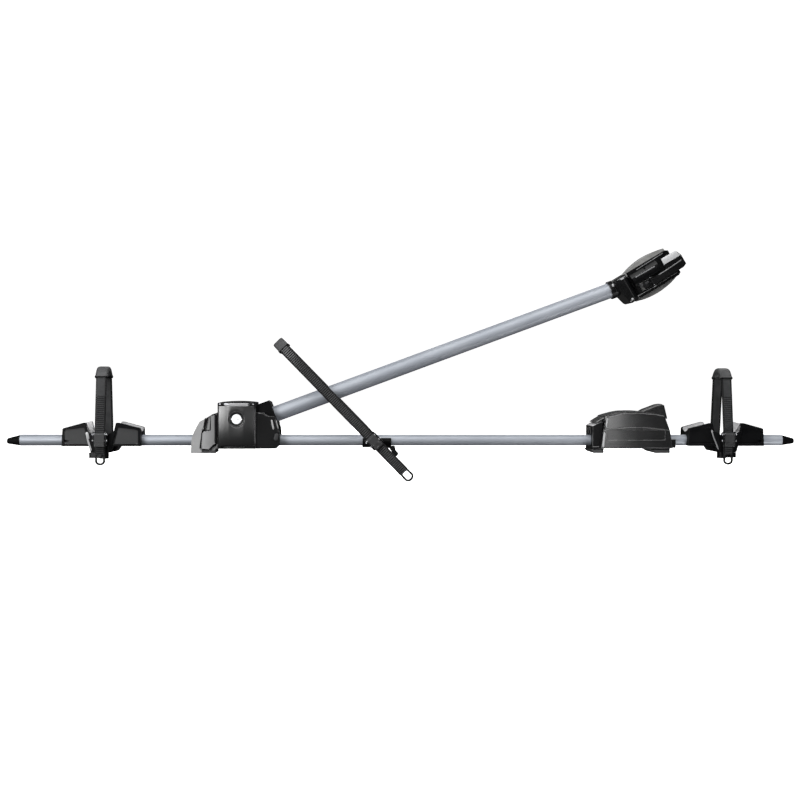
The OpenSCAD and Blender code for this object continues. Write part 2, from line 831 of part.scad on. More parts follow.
// Far jaw in one piece with the root that grips the arm
module head_body() {
    back = jaw_half - strip_width;
    color(gloss_black) head_frame() difference() {
        union() {
            mirror([0, 1, 0]) jaw_shell(jaw_root - 1, jaw_tip);
            mirror([0, 1, 0]) edge_ribs(jaw_root, jaw_tip - 4, -jaw_back);
            intersection() {
                translate([0, jaw_back - 10, 0]) rod_x(jaw_root, far_barrel_end, barrel_r);
                block(jaw_root, far_barrel_end, jaw_back - 1, jaw_back + 8, -back, back);
            }
            head_root_block();
        }
        // Seat of the near jaw's hinge, and its pin's hole
        translate([swing_u, swing_y, -jaw_half + 5.6])
            cylinder(h = 2 * jaw_half - 11.2, r = swing_r + slip);
        block(swing_u, 0, -jaw_back - 12, -jaw_y + 5, -jaw_half + 5.6, jaw_half - 5.6);
        translate([swing_u, swing_y, -jaw_half - 1])
            cylinder(h = 2 * jaw_half + 2, r = swing_pin_r + fit);
        translate([tie_u, 0, tie_v]) rod_y(0, jaw_back + 9, tie_r + fit);
        translate([-arm_reach * cos(head_tilt), 0, arm_reach * sin(head_tilt)])
            rotate([0, head_tilt, 0]) {
                rod_x(0, collar_u + collar_length, collar_r - 0.9);
                rod_x(0, collar_u + 9 + fit, collar_r + 4);
            }
    }
}

module head_root_block() {
    span_y(-jaw_back, jaw_back) polygon([
        [head_root - 5, -2], [head_root, -jaw_half + 4], [head_root + 3, -jaw_half],
        [jaw_root - slip, -jaw_half], [jaw_root - slip, jaw_half], [head_root, jaw_half],
        [head_root - 8, jaw_half - 8]
    ]);
}

module jaw_hinge_pin() {
    color(steel) head_frame() translate([swing_u, swing_y, -jaw_half + 1])
        cylinder(h = 2 * jaw_half - 2, r = swing_pin_r);
}

// Rod that draws the jaws together: its head is caught by the lever's fork
module tie_rod() {
    color(steel) head_frame() translate([tie_u, 0, tie_v]) {
        rod_y(-lever_neck() - 2.8, jaw_back + 8, tie_r);
        rod_y(-lever_neck() - 2.8, -lever_neck(), tie_r + 1.8);
    }
}

// Distance from the clamp's middle plane to the underside of the tie rod's head
function lever_neck() = -lever_y + 2.2;

module tie_rod_nut() {
    color(steel) head_frame() translate([tie_u, 0, tie_v]) difference() {
        translate([0, jaw_back + 7.2, 0]) rotate([-90, 0, 0]) cylinder(h = 5, r = 7, $fn = 6);
        rod_y(0, jaw_back + 20, tie_r + 0.02);
    }
}

module clamp_lever_pin() {
    reach = lever_half + 4.8;
    color(steel) head_frame() translate([lever_u, lever_y, tie_v - reach])
        cylinder(h = 2 * reach, r = lever_pin_r);
}

// Clamp lever: a fork that hooks under the tie rod's head, a hub and a faceted grip
module clamp_lever() {
    hub_r = 4;
    fork = tie_r + 0.5;
    color(gloss_black) head_frame() difference() {
        union() {
            translate([lever_u, lever_y, tie_v - lever_half]) cylinder(h = 2 * lever_half, r = hub_r);
            block(tie_u - 3, lever_u, lever_y - 1.9, lever_y + 2, tie_v - lever_half,
                tie_v + lever_half);
            lever_stem();
            lever_grip();
        }
        block(tie_u - 9, tie_u + fork + 1, -lever_neck() - 4, -jaw_y, tie_v - fork, tie_v + fork);
        translate([lever_u, lever_y, -jaw_half * 2]) cylinder(h = 4 * jaw_half, r = lever_pin_r + fit);
    }
}

// Stem from the lever's hub to its grip, beside the jaw's rounded back
module lever_stem() {
    hull() {
        block(lever_u, lever_u + 4, lever_y - 4, lever_y - 0.5, tie_v - lever_half,
            tie_v + lever_half - 2);
        block(30, 33, lever_y - 5, lever_y - 0.5, tie_v - lever_half, tie_v + lever_half - 2);
    }
}

// Faceted grip that ends past the jaw's tip and turns in towards the other jaw there
module lever_grip() {
    hull() {
        block(30, lever_tip - 8, lever_y - 6, lever_y - 0.5, tie_v - lever_half, grip_ridge);
        block(31, lever_tip - 2, lever_y - 6, lever_y - 1, -14, grip_ridge);
        block(32, lever_tip - 5, lever_y - 1.5, lever_y - 0.5, grip_ridge, grip_top);
        block(lever_tip - 15, lever_tip, lever_y - 4, lever_y - 1, -14, grip_ridge);
    }
    hull() {
        block(jaw_tip + 1, lever_tip - 4, lever_y - 1, lever_y + 6, -16, 1);
        block(jaw_tip + 1, lever_tip - 2, lever_y - 1, lever_y + 6, -13, 12);
    }
}

// Rear foot

// Side view of the cover, whose crown is one round of large radius
module cover_outline() {
    intersection() {
        polygon([
            [-cover_front, 0], [-cover_front + 10, cover_height + 5],
            [cover_rear - 13, cover_height + 5], [cover_rear - 14, cover_height - 8],
            [cover_rear - 5, cover_height - 32], [cover_rear, 0]
        ]);
        translate([crown_x, cover_height - crown_r]) circle(crown_r, $fn = 200);
    }
}

// Everything below the bowed line where the side panels end
module below_step(gap = 0) {
    translate([crown_x, cover_height - 28 - step_r]) circle(step_r + gap, $fn = 400);
}

module fin_outline() {
    z0 = cover_height - 14;
    polygon([
        [cover_rear - 54, cover_height - 2], [cover_rear - 45, cover_height + 3],
        [cover_rear - 32, fin_height - 5], [cover_rear - 22, fin_height - 1.2],
        [cover_rear - 14, fin_height], [cover_rear - 9, fin_height - 2.5],
        [cover_rear - 3, z0], [cover_rear - 20, z0]
    ]);
}

// Thin roof that runs on forward over the base's front block
module cover_lip() {
    middle = cover_height - lip_r;
    difference() {
        intersection() {
            translate([-lip_reach, middle + lip_r - 20.5]) square([lip_reach, 20.5]);
            translate([crown_x - 10, middle]) circle(lip_r, $fn = 200);
        }
        translate([crown_x - 10, middle]) circle(lip_r - cover_wall, $fn = 200);
    }
}

module rear_cover() {
    color(housing_black) translate([rear_x, 0, 0]) difference() {
        union() {
            cushion(2 * (cover_inner + cover_wall), 4) cover_outline();
            cushion(30, 3) fin_outline();
            span_y(1 - block_half, block_half - 1) cover_lip();
        }
        span_y(-cover_inner, cover_inner) difference() {
            union() {
                offset(delta = -cover_wall) cover_outline();
                translate([-cover_front - 5, -5]) square([cover_front + cover_rear + 3, 12]);
                translate([-cover_front - 5, -5]) square([30, cover_height - 15.6]);
            }
            translate([cover_rear - cover_wall, -10]) square([10, 100]);
        }
        both_sides() span_y(cover_inner, cover_depth) below_step(seat_gap / 2);
        block(-cover_front - 10, cover_rear + 10, -spine_half - slip, spine_half + slip, -1,
            rail_top + 3 + slip);
    }
}

// Side panel of the cover, a little proud of it, with a plain sunk field
module cover_side() {
    translate([rear_x, 0, 0]) difference() {
        hull() {
            span_y(cover_inner, cover_depth / 2 - 1) side_panel_outline();
            span_y(cover_inner, cover_depth / 2) offset(delta = -1) side_panel_outline();
        }
        span_y(cover_depth / 2 - 0.8, cover_depth / 2 + 1) rounded(2)
            translate([field_inset - cover_front, 15])
                square([cover_front + cover_rear - field_inset - 14, cover_height - 48]);
    }
}

module side_panel_outline() {
    intersection() {
        cover_outline();
        below_step();
    }
}

module rear_cover_side_near() {
    color(housing_black) mirror([0, 1, 0]) cover_side();
}

module rear_cover_side_far() {
    color(housing_black) cover_side();
}

module rear_base() {
    roof = cover_height - base_drop;
    color(dark_grey) translate([rear_x, 0, 0]) difference() {
        union() {
            span_y(-block_half, block_half) polygon([
                [block_front, 0], [block_front, roof - 5], [block_front + 5.5, roof - 1.5],
                [block_front + 15.5, roof + 3], [block_front + 17.5, roof + 3],
                [block_front + 17.5, 0]
            ]);
            block(-cover_front - 2, foot_rear, -spine_half, spine_half, 0, rail_top + 3);
            block(rear_plate_x1 + 2, foot_rear - 3, -foot_half - 1, foot_half + 1, 0, rail_z);
            block(cover_rear - 6, cover_rear + 11, -spine_half, spine_half, 0, rail_z + 2);
            // Release tab on the front block
            block(block_front - 4.5, block_front + 5, -9, 9, rail_top + 2.8, rail_top + 12.8);
            block(block_front, -cover_front - 2, -foot_half, foot_half, -3, 3);
            block(-cover_front - 3, rear_plate_x0 - 2, -foot_half, foot_half, -3, -slip - 0.1);
            block(rear_plate_x1 + 2, foot_rear, -foot_half - 1, foot_half + 1, -3, 3);
        }
        translate([-rear_x, 0, 0]) span_x(rear_x - 100, rear_x + 120) rail_section(0.25);
        block(rear_plate_x0 - slip, rear_plate_x1 + slip, -spine_half - 1, spine_half + 1, -eps,
            pad_t + plate_t + seat_gap / 2);
    }
}

module rear_bracket() {
    color(steel) translate([rear_x, 0, 0]) difference() {
        block(rear_plate_x0, rear_plate_x1, -plate_half, plate_half, pad_t, pad_t + plate_t);
        for (side = [-1, 1]) translate([0, side * bolt_half, 0]) cylinder(h = 10, r = bolt_hole_r);
    }
}

module rear_seat_pad() {
    color(rubber_black) translate([rear_x, 0, 0]) difference() {
        block(rear_plate_x0, rear_plate_x1, -plate_half, plate_half, 0, pad_t);
        for (side = [-1, 1]) {
            translate([0, side * bolt_half, -1]) cylinder(h = 10, r = bolt_hole_r + 1.5);
        }
    }
}

module rear_leg_pads() {
    heel = rear_plate_x0 - 2;
    toe = rear_plate_x1 + 2;
    color(rubber_black) translate([rear_x, 0, 0]) {
        span_y(-foot_half, foot_half) polygon([
            [block_front - 4.5, -0.1 - leg_drop * 0.2], [block_front - 0.1, -3], [heel, -3],
            [heel, -leg_drop], [block_front + 1.5, -leg_drop]
        ]);
        span_y(-foot_half - 2, foot_half + 2) polygon([
            [toe, -3], [foot_rear, -3], [foot_rear, -leg_drop], [toe + 8, -leg_drop]
        ]);
    }
}

module rear_knob_near() {
    color(rubber_black) translate([rear_x, -bolt_half, 0]) clamp_knob();
}

module rear_knob_far() {
    color(rubber_black) translate([rear_x, bolt_half, 0]) clamp_knob();
}

// Wheel holders, each in a frame whose origin is the holder's middle on the rail

// Place and side of a holder: the rear one is turned round, so that its handle points outwards
module at_holder(x, turned) {
    translate([x, 0, 0]) mirror([turned ? 1 : 0, 0, 0]) children();
}

module hump_outline() {
    e = holder_length / 2;
    h = holder_height;
    polygon([
        [-e, 4], [-e, 9], [-e + 1.5, h - 11], [-e + 3, h - 9.3], [-31, h], [-26, h],
        [-15.5, 4]
    ]);
}

// Space inside a hump beside the rail, open below
module hump_hollow() {
    e = holder_length / 2;
    polygon([[-e + 3, -1], [-e + 4.2, 30], [-34, 32], [-29.5, 32], [-18.5, -1]]);
}

module hump_panel() {
    e = holder_length / 2;
    h = holder_height;
    polygon([
        [-e + 4.5, 8], [-e + 4.5, h - 14], [-e + 8, h - 12], [-32, h - 8.5], [-29, h - 8.5], [-20, 8]
    ]);
}

module holder_body() {
    half = holder_depth / 2;
    difference() {
        union() {
            for (m = [0, 1]) mirror([m, 0, 0]) {
                span_y(-half, half) hump_outline();
                clamp_arm();
            }
            // Step of the clamp body under the rail, on its inner side
            span_y(-clamp_step_half, clamp_step_half)
                polygon([[6, clamp_z], [23, clamp_z + 1], [27, 0], [29, rail_z], [6, rail_z]]);
        }
        span_x(-holder_length, holder_length) rail_section(slip);
        // Hole of the clamp screw
        translate([0, 0, clamp_z - 1]) cylinder(h = 20, r = screw_r + fit);
        for (m = [0, 1]) mirror([m, 0, 0]) both_sides()
            span_y(rail_width / 2 + 3.5, half - holder_wall) hump_hollow();
        block(-holder_length, -clamp_arm_foot, -jaw_slot_half, jaw_slot_half, -20, rail_z);
        block(29, holder_length, -jaw_slot_half, jaw_slot_half, -20, rail_z);
        translate([0, 0, rail_top + groove_floor + tyre_r]) rod_x(-holder_length, holder_length, tyre_r);
        both_sides() {
            span_y(half - 2, half + 1) for (m = [0, 1]) mirror([m, 0, 0]) hump_panel();
            // Small window at the outer end
            span_y(half - holder_wall - 1, half + 1) polygon([
                [-holder_length / 2 + 14, rail_z], [-holder_length / 2 + 4.5, rail_z + 2.6],
                [-holder_length / 2 + 4.5, rail_z - 2.6]
            ]);
        }
    }
    strap_lugs();
}

// One leaning arm of the clamp body, whose outer flank is a narrow facet
module clamp_arm() {
    half = holder_depth / 2;
    top = rail_top + 7.3;
    hull() {
        span_y(-half, half) polygon([
            [-28, top], [-clamp_arm_foot, clamp_z], [3, clamp_z], [3, 10],
            [-14, rail_top + 3], [-21, top]
        ]);
        span_y(-half - clamp_proud, half + clamp_proud) polygon([
            [-25.5, top], [5.5 - clamp_arm_foot, clamp_z], [3, clamp_z], [3, 10],
            [-14, rail_top + 3], [-21, top]
        ]);
    }
}

// Two lugs on the far side that hold the strap's fixed end
module strap_lugs() {
    z = wheel_buckle_z + anchor_z;
    for (side = [-1, 1]) difference() {
        x = side * (buckle_half + lug_t / 2);
        block(x - lug_t / 2, x + lug_t / 2, holder_depth / 2, strap_y + lug_r, z - lug_r, z + lug_r);
        translate([0, strap_y, z]) rod_x(-holder_length, holder_length, pin_r + fit);
    }
}

module front_saddle() {
    color(housing_black) at_holder(front_holder_x, false) holder_body();
}

module rear_saddle() {
    color(housing_black) at_holder(rear_holder_x, true) holder_body();
}

// Clamp handle: a screw under the holder with a handle on one side of it
module clamp_handle() {
    hub_r = 8;
    end_r = 4.6;
    z1 = clamp_z - 1.4;
    z0 = z1 - 11.4;
    translate([0, 0, z0]) cylinder(h = z1 - z0, r = hub_r);
    translate([0, 0, z0 + 1]) linear_extrude(z1 - z0 - 2) {
        polygon([[0, hub_r - 0.5], [-handle_reach + end_r, end_r], [-handle_reach + end_r, -end_r],
            [0, 0.5 - hub_r]]);
        translate([-handle_reach + end_r, 0]) circle(end_r);
    }
    translate([0, 0, z1 - eps]) cylinder(h = rail_lift - slip - z1, r = screw_r);
}

module front_clamp_handle() {
    color(gloss_black) at_holder(front_holder_x, false) clamp_handle();
}

module rear_clamp_handle() {
    color(gloss_black) at_holder(rear_holder_x, true) clamp_handle();
}

// Straps, in a frame whose Z runs up the strap and whose X lies across it

function unit(a) = a / norm(a);

function side_of(a, b) = let (d = unit(b - a)) [-d[1], d[0]];

// Outline of a band of even thickness along a path in the YZ plane
function band(path, t) = let (
    n = len(path),
    left = [for (i = [0 : n - 1])
        let (a = path[max(i - 1, 0)], b = path[min(i + 1, n - 1)]) path[i] + side_of(a, b) * t / 2],
    right = [for (i = [n - 1 : -1 : 0])
        let (a = path[max(i - 1, 0)], b = path[min(i + 1, n - 1)]) path[i] - side_of(a, b) * t / 2]
) concat(left, right);

// Path of a strap: from its anchor up the far side, round under the pad, down through the
// buckle and on to the end of its tail
function strap_path(top, tail) = let (
    bend = top - loop_r - strap_t / 2
) concat(
    [[strap_y, anchor_z + 3], [strap_y, anchor_z + 15]],
    [for (a = [0 : 7.5 : 180]) [loop_r * cos(a), bend + loop_r * sin(a)]],
    [[-strap_y, grip_half], [-strap_y, -grip_half], [-strap_y, -grip_half - tail]]
);

// Ribs across one straight stretch of a strap, on its outer face, short of its end by the smooth
// part
module strap_ribs(a, b, smooth = 2) {
    run = norm(b - a);
    d = unit(b - a);
    count = floor((run - smooth) / rib_pitch);
    tilt = atan2(d[0], d[1]);
    for (i = [0 : count - 1]) {
        at = a + d * (1.5 + i * rib_pitch);
        translate([0, at[0], at[1]]) rotate([-tilt, 0, 0])
            block(-strap_width / 2 + 2, strap_width / 2 - 2, -strap_t / 2 - rib_height, 0, 0,
                rib_pitch * 0.45);
    }
}

module strap(top, tail, smooth) {
    path = strap_path(top, tail);
    last = path[len(path) - 1];
    bend = top - loop_r - strap_t / 2;
    hole = ring_r - 2.3;
    difference() {
        union() {
            span_x(-strap_width / 2, strap_width / 2) polygon(band(path, strap_t));
            translate([0, strap_y, anchor_z]) rod_x(-strap_width / 2, strap_width / 2, 4.6);
        }
        translate([0, strap_y, anchor_z]) rod_x(-strap_width, strap_width, pin_r + fit);
    }
    strap_ribs([-strap_y, -grip_half - tail], [-strap_y, grip_half - 1]);
    strap_ribs([-strap_y, grip_half + 1], [-loop_r, bend], smooth);
    mirror([0, 1, 0]) strap_ribs([-strap_y, anchor_z + 15], [-loop_r, bend], smooth);
    // Pull ring
    translate([0, last[0], last[1]]) span_y(-1.5, 1.5) difference() {
        union() {
            translate([-ring_r, -ring_r * 1.6]) square([2 * ring_r, ring_r * 1.6 + 2]);
            translate([0, -ring_r * 1.6]) circle(ring_r);
        }
        translate([-hole, -ring_r * 1.6]) square([2 * hole, ring_r * 1.2]);
        translate([0, -ring_r * 1.6]) circle(hole);
        translate([0, -ring_r * 0.4]) circle(hole);
    }
}

// Soft pad round the top of a strap: bevelled shoulders and a lip at both of its ends
module strap_pad(top) {
    bend = top - loop_r - strap_t / 2;
    half = strap_width / 2 + pad_wall;
    inner = loop_r - strap_t / 2 - 5;
    outer = loop_r + strap_t / 2 + pad_wall;
    lip = 5;
    difference() {
        translate([0, 0, bend]) {
            arc_x(-pad_reach, pad_reach) polygon([
                [inner, -half], [outer - 3, -half], [outer, 3 - half], [outer, half - 3],
                [outer - 3, half], [inner, half]
            ]);
            for (m = [0, 1]) mirror([0, m, 0]) arc_x(pad_reach - lip, pad_reach) polygon([
                [inner - 0.6, -half - 1], [outer + 0.9, -half - 1], [outer + 0.9, half + 1],
                [inner - 0.6, half + 1]
            ]);
        }
        bend_ring(strap_width / 2 + 0.1, bend, 0.1);
    }
}

// Turns a profile of radius and width round the X axis, between two angles from the vertical
module arc_x(a0, a1) {
    rotate([0, 90, 0]) rotate([0, 0, 180 - a1]) rotate_extrude(angle = a1 - a0) children();
}

// Half ring round the strap's bend, with a clearance
module bend_ring(half, bend, gap) {
    r1 = loop_r + strap_t / 2 + gap;
    r0 = loop_r - strap_t / 2 - gap;
    span_x(-half, half) translate([0, bend]) difference() {
        circle(r1);
        circle(r0);
        translate([-r1 - 1, -2 * r1]) square([2 * r1 + 2, 2 * r1]);
    }
}

// Buckle base: a back plate with two cheeks that hold the pins
module buckle_base() {
    back = -strap_y + strap_t / 2 + slip;
    front = -strap_y - lever_pin_y - 2.4;
    block(-buckle_half, buckle_half, back, back + base_plate_t, -12, 10);
    for (side = [-1, 1]) buckle_cheek(side, back + base_plate_t, front);
}

module buckle_cheek(side, back, front) {
    x0 = side > 0 ? buckle_half : -buckle_half - buckle_wall;
    difference() {
        translate([x0, 0, 0]) rotate([90, 0, 90]) linear_extrude(buckle_wall) polygon([
            [back, -12], [-strap_y - guide_pin_y - 2, -12], [front, 2], [front, 11],
            [front + 3, 13], [back, 10]
        ]);
        translate([0, -strap_y - lever_pin_y, 8]) rod_x(-30, 30, pin_r + fit);
        translate([0, -strap_y - guide_pin_y, -3]) rod_x(-30, 30, pin_r + fit);
    }
}

module buckle_pins() {
    reach = buckle_half + buckle_wall + 1.2;
    translate([0, -strap_y - lever_pin_y, 8]) rod_x(-reach, reach, pin_r);
    translate([0, -strap_y - guide_pin_y, -3]) rod_x(-reach, reach, pin_r);
    translate([0, strap_y, anchor_z]) rod_x(-reach, reach, pin_r);
}

// Ridged lever that turns on the upper pin and presses the strap
module buckle_lever() {
    half = buckle_half - slip - 0.6;
    y1 = -strap_y - lever_pin_y - 0.4;
    y0 = y1 - buckle_lever_t;
    difference() {
        union() {
            translate([0, -strap_y - lever_pin_y, 8]) rod_x(-half, half, 3.1);
            block(-half, half, y0, y1, buckle_lever_low, 8);
            for (z = [buckle_lever_low + 0.5 : 2.4 : -3.5])
                block(1 - half, half - 1, y0 - 0.7, y0 + eps, z, z + 1.2);
        }
        translate([0, -strap_y - lever_pin_y, 8]) rod_x(-30, 30, pin_r + fit);
    }
}

module at_wheel_buckle(x, turned) {
    at_holder(x, turned) translate([0, 0, wheel_buckle_z]) children();
}

module front_strap() {
    color(rubber_black) at_wheel_buckle(front_holder_x, false)
        strap(wheel_strap_top - wheel_buckle_z, wheel_tail, smooth_length);
}

module front_strap_pad() {
    color(rubber_black) at_wheel_buckle(front_holder_x, false)
        strap_pad(wheel_strap_top - wheel_buckle_z);
}

module front_buckle_base() {
    color(dark_grey) at_wheel_buckle(front_holder_x, false) buckle_base();
}

module front_buckle_pins() {
    color(steel) at_wheel_buckle(front_holder_x, false) buckle_pins();
}

module front_buckle_lever() {
    color(dark_grey) at_wheel_buckle(front_holder_x, false) buckle_lever();
}

module rear_strap() {
    color(rubber_black) at_wheel_buckle(rear_holder_x, true)
        strap(wheel_strap_top - wheel_buckle_z, wheel_tail, smooth_length);
}

module rear_strap_pad() {
    color(rubber_black) at_wheel_buckle(rear_holder_x, true)
        strap_pad(wheel_strap_top - wheel_buckle_z);
}

module rear_buckle_base() {
    color(dark_grey) at_wheel_buckle(rear_holder_x, true) buckle_base();
}

module rear_buckle_pins() {
    color(steel) at_wheel_buckle(rear_holder_x, true) buckle_pins();
}

module rear_buckle_lever() {
    color(dark_grey) at_wheel_buckle(rear_holder_x, true) buckle_lever();
}

// Third strap

// Frame of the third strap: it leans forward from its clip on the rail
module third_frame() {
    translate([third_x, 0, rail_z]) rotate([0, third_angle - 90, 0]) children();
}

// Cradle that hugs the rail from below and carries the buckle and the strap's fixed end
module third_clip() {
    wall = 3;
    half = rail_width / 2 + slip + wall;
    color(dark_grey) {
        difference() {
            span_x(third_x - 20, third_x + 31) intersection() {
                rail_section(slip + wall);
                translate([-half, rail_lift - 10]) square([2 * half, rail_height + 5]);
            }
            span_x(third_x - 30, third_x + 40) rail_section(slip);
            block(third_x - 30, third_x + 40, -half + wall + 0.7, half - wall - 0.7, rail_z, rail_z + 30);
        }
        third_frame() third_mounts();
        // Foot that hooks under the rail behind the strap
        translate([third_x, 0, rail_lift - slip]) span_y(-9, 9) polygon([
            [22, -4], [22, -1], [38, -1], [39.5, -8], [44.5, -13.5], [42.5, -18.5], [37, -18.5],
            [32, -10], [28, -4]
        ]);
    }
}

// Blocks on the cradle that the buckle stands on and that hold the strap's fixed end
module third_mounts() {
    half = rail_width / 2 + slip + 1;
    back = strap_y - strap_t / 2 - slip - base_plate_t;
    block(-buckle_half, buckle_half, -back, -half, -9, 7);
    block(-buckle_half - lug_t, buckle_half + lug_t, half, strap_y - 6, -16, -2);
    for (side = [-1, 1]) difference() {
        x = side * (buckle_half + lug_t / 2);
        block(x - lug_t / 2, x + lug_t / 2, strap_y - 7, strap_y + lug_r, anchor_z - lug_r,
            anchor_z + lug_r);
        translate([0, strap_y, anchor_z]) rod_x(-30, 30, pin_r + fit);
    }
}

module third_strap() {
    color(rubber_black) third_frame() strap(third_strap_length, third_tail, 2);
}

module third_strap_pad() {
    color(rubber_black) third_frame() strap_pad(third_strap_length);
}

module third_buckle_base() {
    color(dark_grey) third_frame() buckle_base();
}

module third_buckle_pins() {
    color(steel) third_frame() buckle_pins();
}

module third_buckle_lever() {
    color(dark_grey) third_frame() buckle_lever();
}

rail();
rail_cap_front();
rail_cap_rear();
front_housing();
front_side_cover_near();
front_side_cover_far();
front_bracket();
front_seat_pad();
front_leg_pad();
front_rail_screws();
front_flap();
flap_hinge_pin();
lock_core();
lock_tongue();
front_knob_near();
front_knob_far();
arm_knuckle();
arm_pivot_bolt();
arm_pivot_nut();
arm_tube();
head_collar();
head_body();
far_jaw_pad();
tie_rod();
tie_rod_nut();
near_jaw();
near_jaw_pad();
jaw_hinge_pin();
clamp_lever_pin();
clamp_lever();
rear_base();
rear_cover();
rear_cover_side_near();
rear_cover_side_far();
rear_bracket();
rear_seat_pad();
rear_leg_pads();
rear_knob_near();
rear_knob_far();
front_saddle();
front_strap();
front_strap_pad();
front_buckle_base();
front_buckle_pins();
front_buckle_lever();
front_clamp_handle();
rear_saddle();
rear_strap();
rear_strap_pad();
rear_buckle_base();
rear_buckle_pins();
rear_buckle_lever();
rear_clamp_handle();
third_clip();
third_strap();
third_strap_pad();
third_buckle_base();
third_buckle_pins();
third_buckle_lever();
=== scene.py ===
"""Roof bike carrier, dressed for its picture.

Lengths are written in millimetres and become metres as they enter a mesh. X runs along the rail,
Y away from the camera and Z up, with the origin at the middle of the front foot's seat. Straps,
rings, pads, end caps and relief are grids of two parameters, worked out as whole arrays. The
other moulded pieces are copies of their CAD nodes with rounded edges, and some of them are bent.
"""
import json

import bmesh
import bpy
import numpy as np
from mathutils import Matrix, Vector
from mathutils.bvhtree import BVHTree

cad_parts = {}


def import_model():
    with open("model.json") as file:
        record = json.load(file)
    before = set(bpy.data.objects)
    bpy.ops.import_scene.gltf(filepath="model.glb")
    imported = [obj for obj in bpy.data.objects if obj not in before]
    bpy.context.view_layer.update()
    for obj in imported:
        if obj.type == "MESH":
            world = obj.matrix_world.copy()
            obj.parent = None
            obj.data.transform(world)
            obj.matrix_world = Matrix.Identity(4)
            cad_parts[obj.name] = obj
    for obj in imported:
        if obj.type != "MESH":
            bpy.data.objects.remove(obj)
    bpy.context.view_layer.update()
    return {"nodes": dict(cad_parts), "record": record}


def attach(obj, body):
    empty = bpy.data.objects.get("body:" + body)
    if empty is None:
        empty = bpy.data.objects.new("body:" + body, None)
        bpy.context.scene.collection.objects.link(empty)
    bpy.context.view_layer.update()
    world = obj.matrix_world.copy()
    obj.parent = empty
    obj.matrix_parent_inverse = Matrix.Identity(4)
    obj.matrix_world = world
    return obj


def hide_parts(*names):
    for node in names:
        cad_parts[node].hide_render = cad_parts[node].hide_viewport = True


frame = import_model()
MM = 0.001
BODY_OF = {n: b for b, ns in frame["record"]["behaviour"]["bodies"].items() for n in ns}
SLOT_OF = {s["node"]: s["material_slot"] for s in frame["record"]["subparts"]}

# Driving sizes, in millimetres and degrees: the rail and its caps
RAIL_X0 = -406.0
RAIL_LENGTH = 1412.0
RAIL_WIDTH = 30.0
RAIL_HEIGHT = 19.0
RAIL_Z = 13.2
CAP_LENGTH = 24.0
CAP_FIT = 0.3

# What sits where along the rail
REAR_FOOT_X = 693.0
FRONT_HOLDER_X = -237.0
REAR_HOLDER_X = 874.0
THIRD_X = 241.0
THIRD_ANGLE = 45.7

# Strap band: its section, its ribs, and the smooth and the polished margin along its edges
STRAP_WIDTH = 18.4
STRAP_T = 3.4
STRAP_CORNER = 1.1
RIB_PITCH = 3.55
RIB_HEIGHT = 0.8
POINTS_PER_RIB = 8
SMOOTH_MARGIN = 1.6
POLISHED_MARGIN = 2.2

# Strap loop, in the strap's own frame, whose origin is level with the middle of its buckle. The
# far side stands straight from its end up to where it starts to lean, the near side along the
# buckle
LOOP_R = 27.0
STRAP_Y = 39.0
BUCKLE_HALF = 14.0
FAR_END_Z = -12.0
FAR_LEAN_Z = 3.0
WHEEL_BUCKLE_Z = 17.5
WHEEL_STRAP_TOP = 142.0
WHEEL_TAIL = 13.0
WHEEL_SMOOTH = 50.0
WHEEL_RING_HALF = 8.8
THIRD_LENGTH = 245.0
THIRD_TAIL = 62.0
THIRD_SMOOTH = 6.0

# Ring at a strap's end
RING_R = 7.8
RING_STROKE = 3.8
RING_T = 3.0

# Wheel holders: the round groove for the tyre, and where the flat panels in their sides lie
HOLDER_HALF = 68.5
GROOVE_R = 27.0
GROOVE_Z = 55.7
PANEL_FROM_Y = 25.0
PANEL_TO_Y = 29.4

# Front foot: its tower, the wing ahead of it, the lock and its flap
TOWER_X = -36.0
WING_LENGTH = 46.0
LOCK_Z = 52.0
RECESS_R = 13.0
FLAP_FRONT = -44.8
FLAP_HALF = 31.0
FLAP_MIDDLE_Z = 36.0
FLAP_TOP_Z = 70.5
FLAP_CROWN_R = 300.0

# Rear foot
COVER_INNER = 36.6
STEP_Z = 40.0

# Mesh tolerances, in metres and degrees
MERGE = 2e-6
CUT_SNAP = 1e-5
FLAT_ANGLE = 0.5
SHARP_ANGLE = 32.0


# Materials


def material(name, base, rough, metal=0.0):
    """A new material with its shader's plain values set on the sockets."""
    mat = bpy.data.materials.new(name)
    mat.use_nodes = True
    shader = mat.node_tree.nodes["Principled BSDF"]
    shader.inputs["Base Color"].default_value = (*base, 1.0)
    shader.inputs["Roughness"].default_value = rough
    shader.inputs["Metallic"].default_value = metal
    return mat, mat.node_tree, shader


def wire(tree, kind, inputs=None, **settings):
    """Adds a node, sets its plain settings, and links or sets its inputs."""
    node = tree.nodes.new(kind)
    for key, value in settings.items():
        setattr(node, key, value)
    for key, value in (inputs or {}).items():
        if isinstance(value, bpy.types.NodeSocket):
            tree.links.new(value, node.inputs[key])
        else:
            node.inputs[key].default_value = value
    return node


EVEN = (1.0, 1.0, 1.0)


def coordinates(tree, stretch=EVEN):
    """Object coordinates, stretched by three factors."""
    source = wire(tree, "ShaderNodeTexCoord")
    return wire(tree, "ShaderNodeMapping",
                {"Vector": source.outputs["Object"], "Scale": stretch}).outputs["Vector"]


def noise(tree, scale, detail=3.0, stretch=EVEN):
    """Noise over stretched object coordinates."""
    return wire(tree, "ShaderNodeTexNoise",
                {"Vector": coordinates(tree, stretch), "Scale": scale, "Detail": detail}
                ).outputs["Fac"]


def spread(tree, value, low, high, start=0.3, end=0.7):
    """Maps a noise value onto a range."""
    return wire(tree, "ShaderNodeMapRange",
                {"Value": value, "From Min": start, "From Max": end, "To Min": low,
                 "To Max": high}).outputs["Result"]


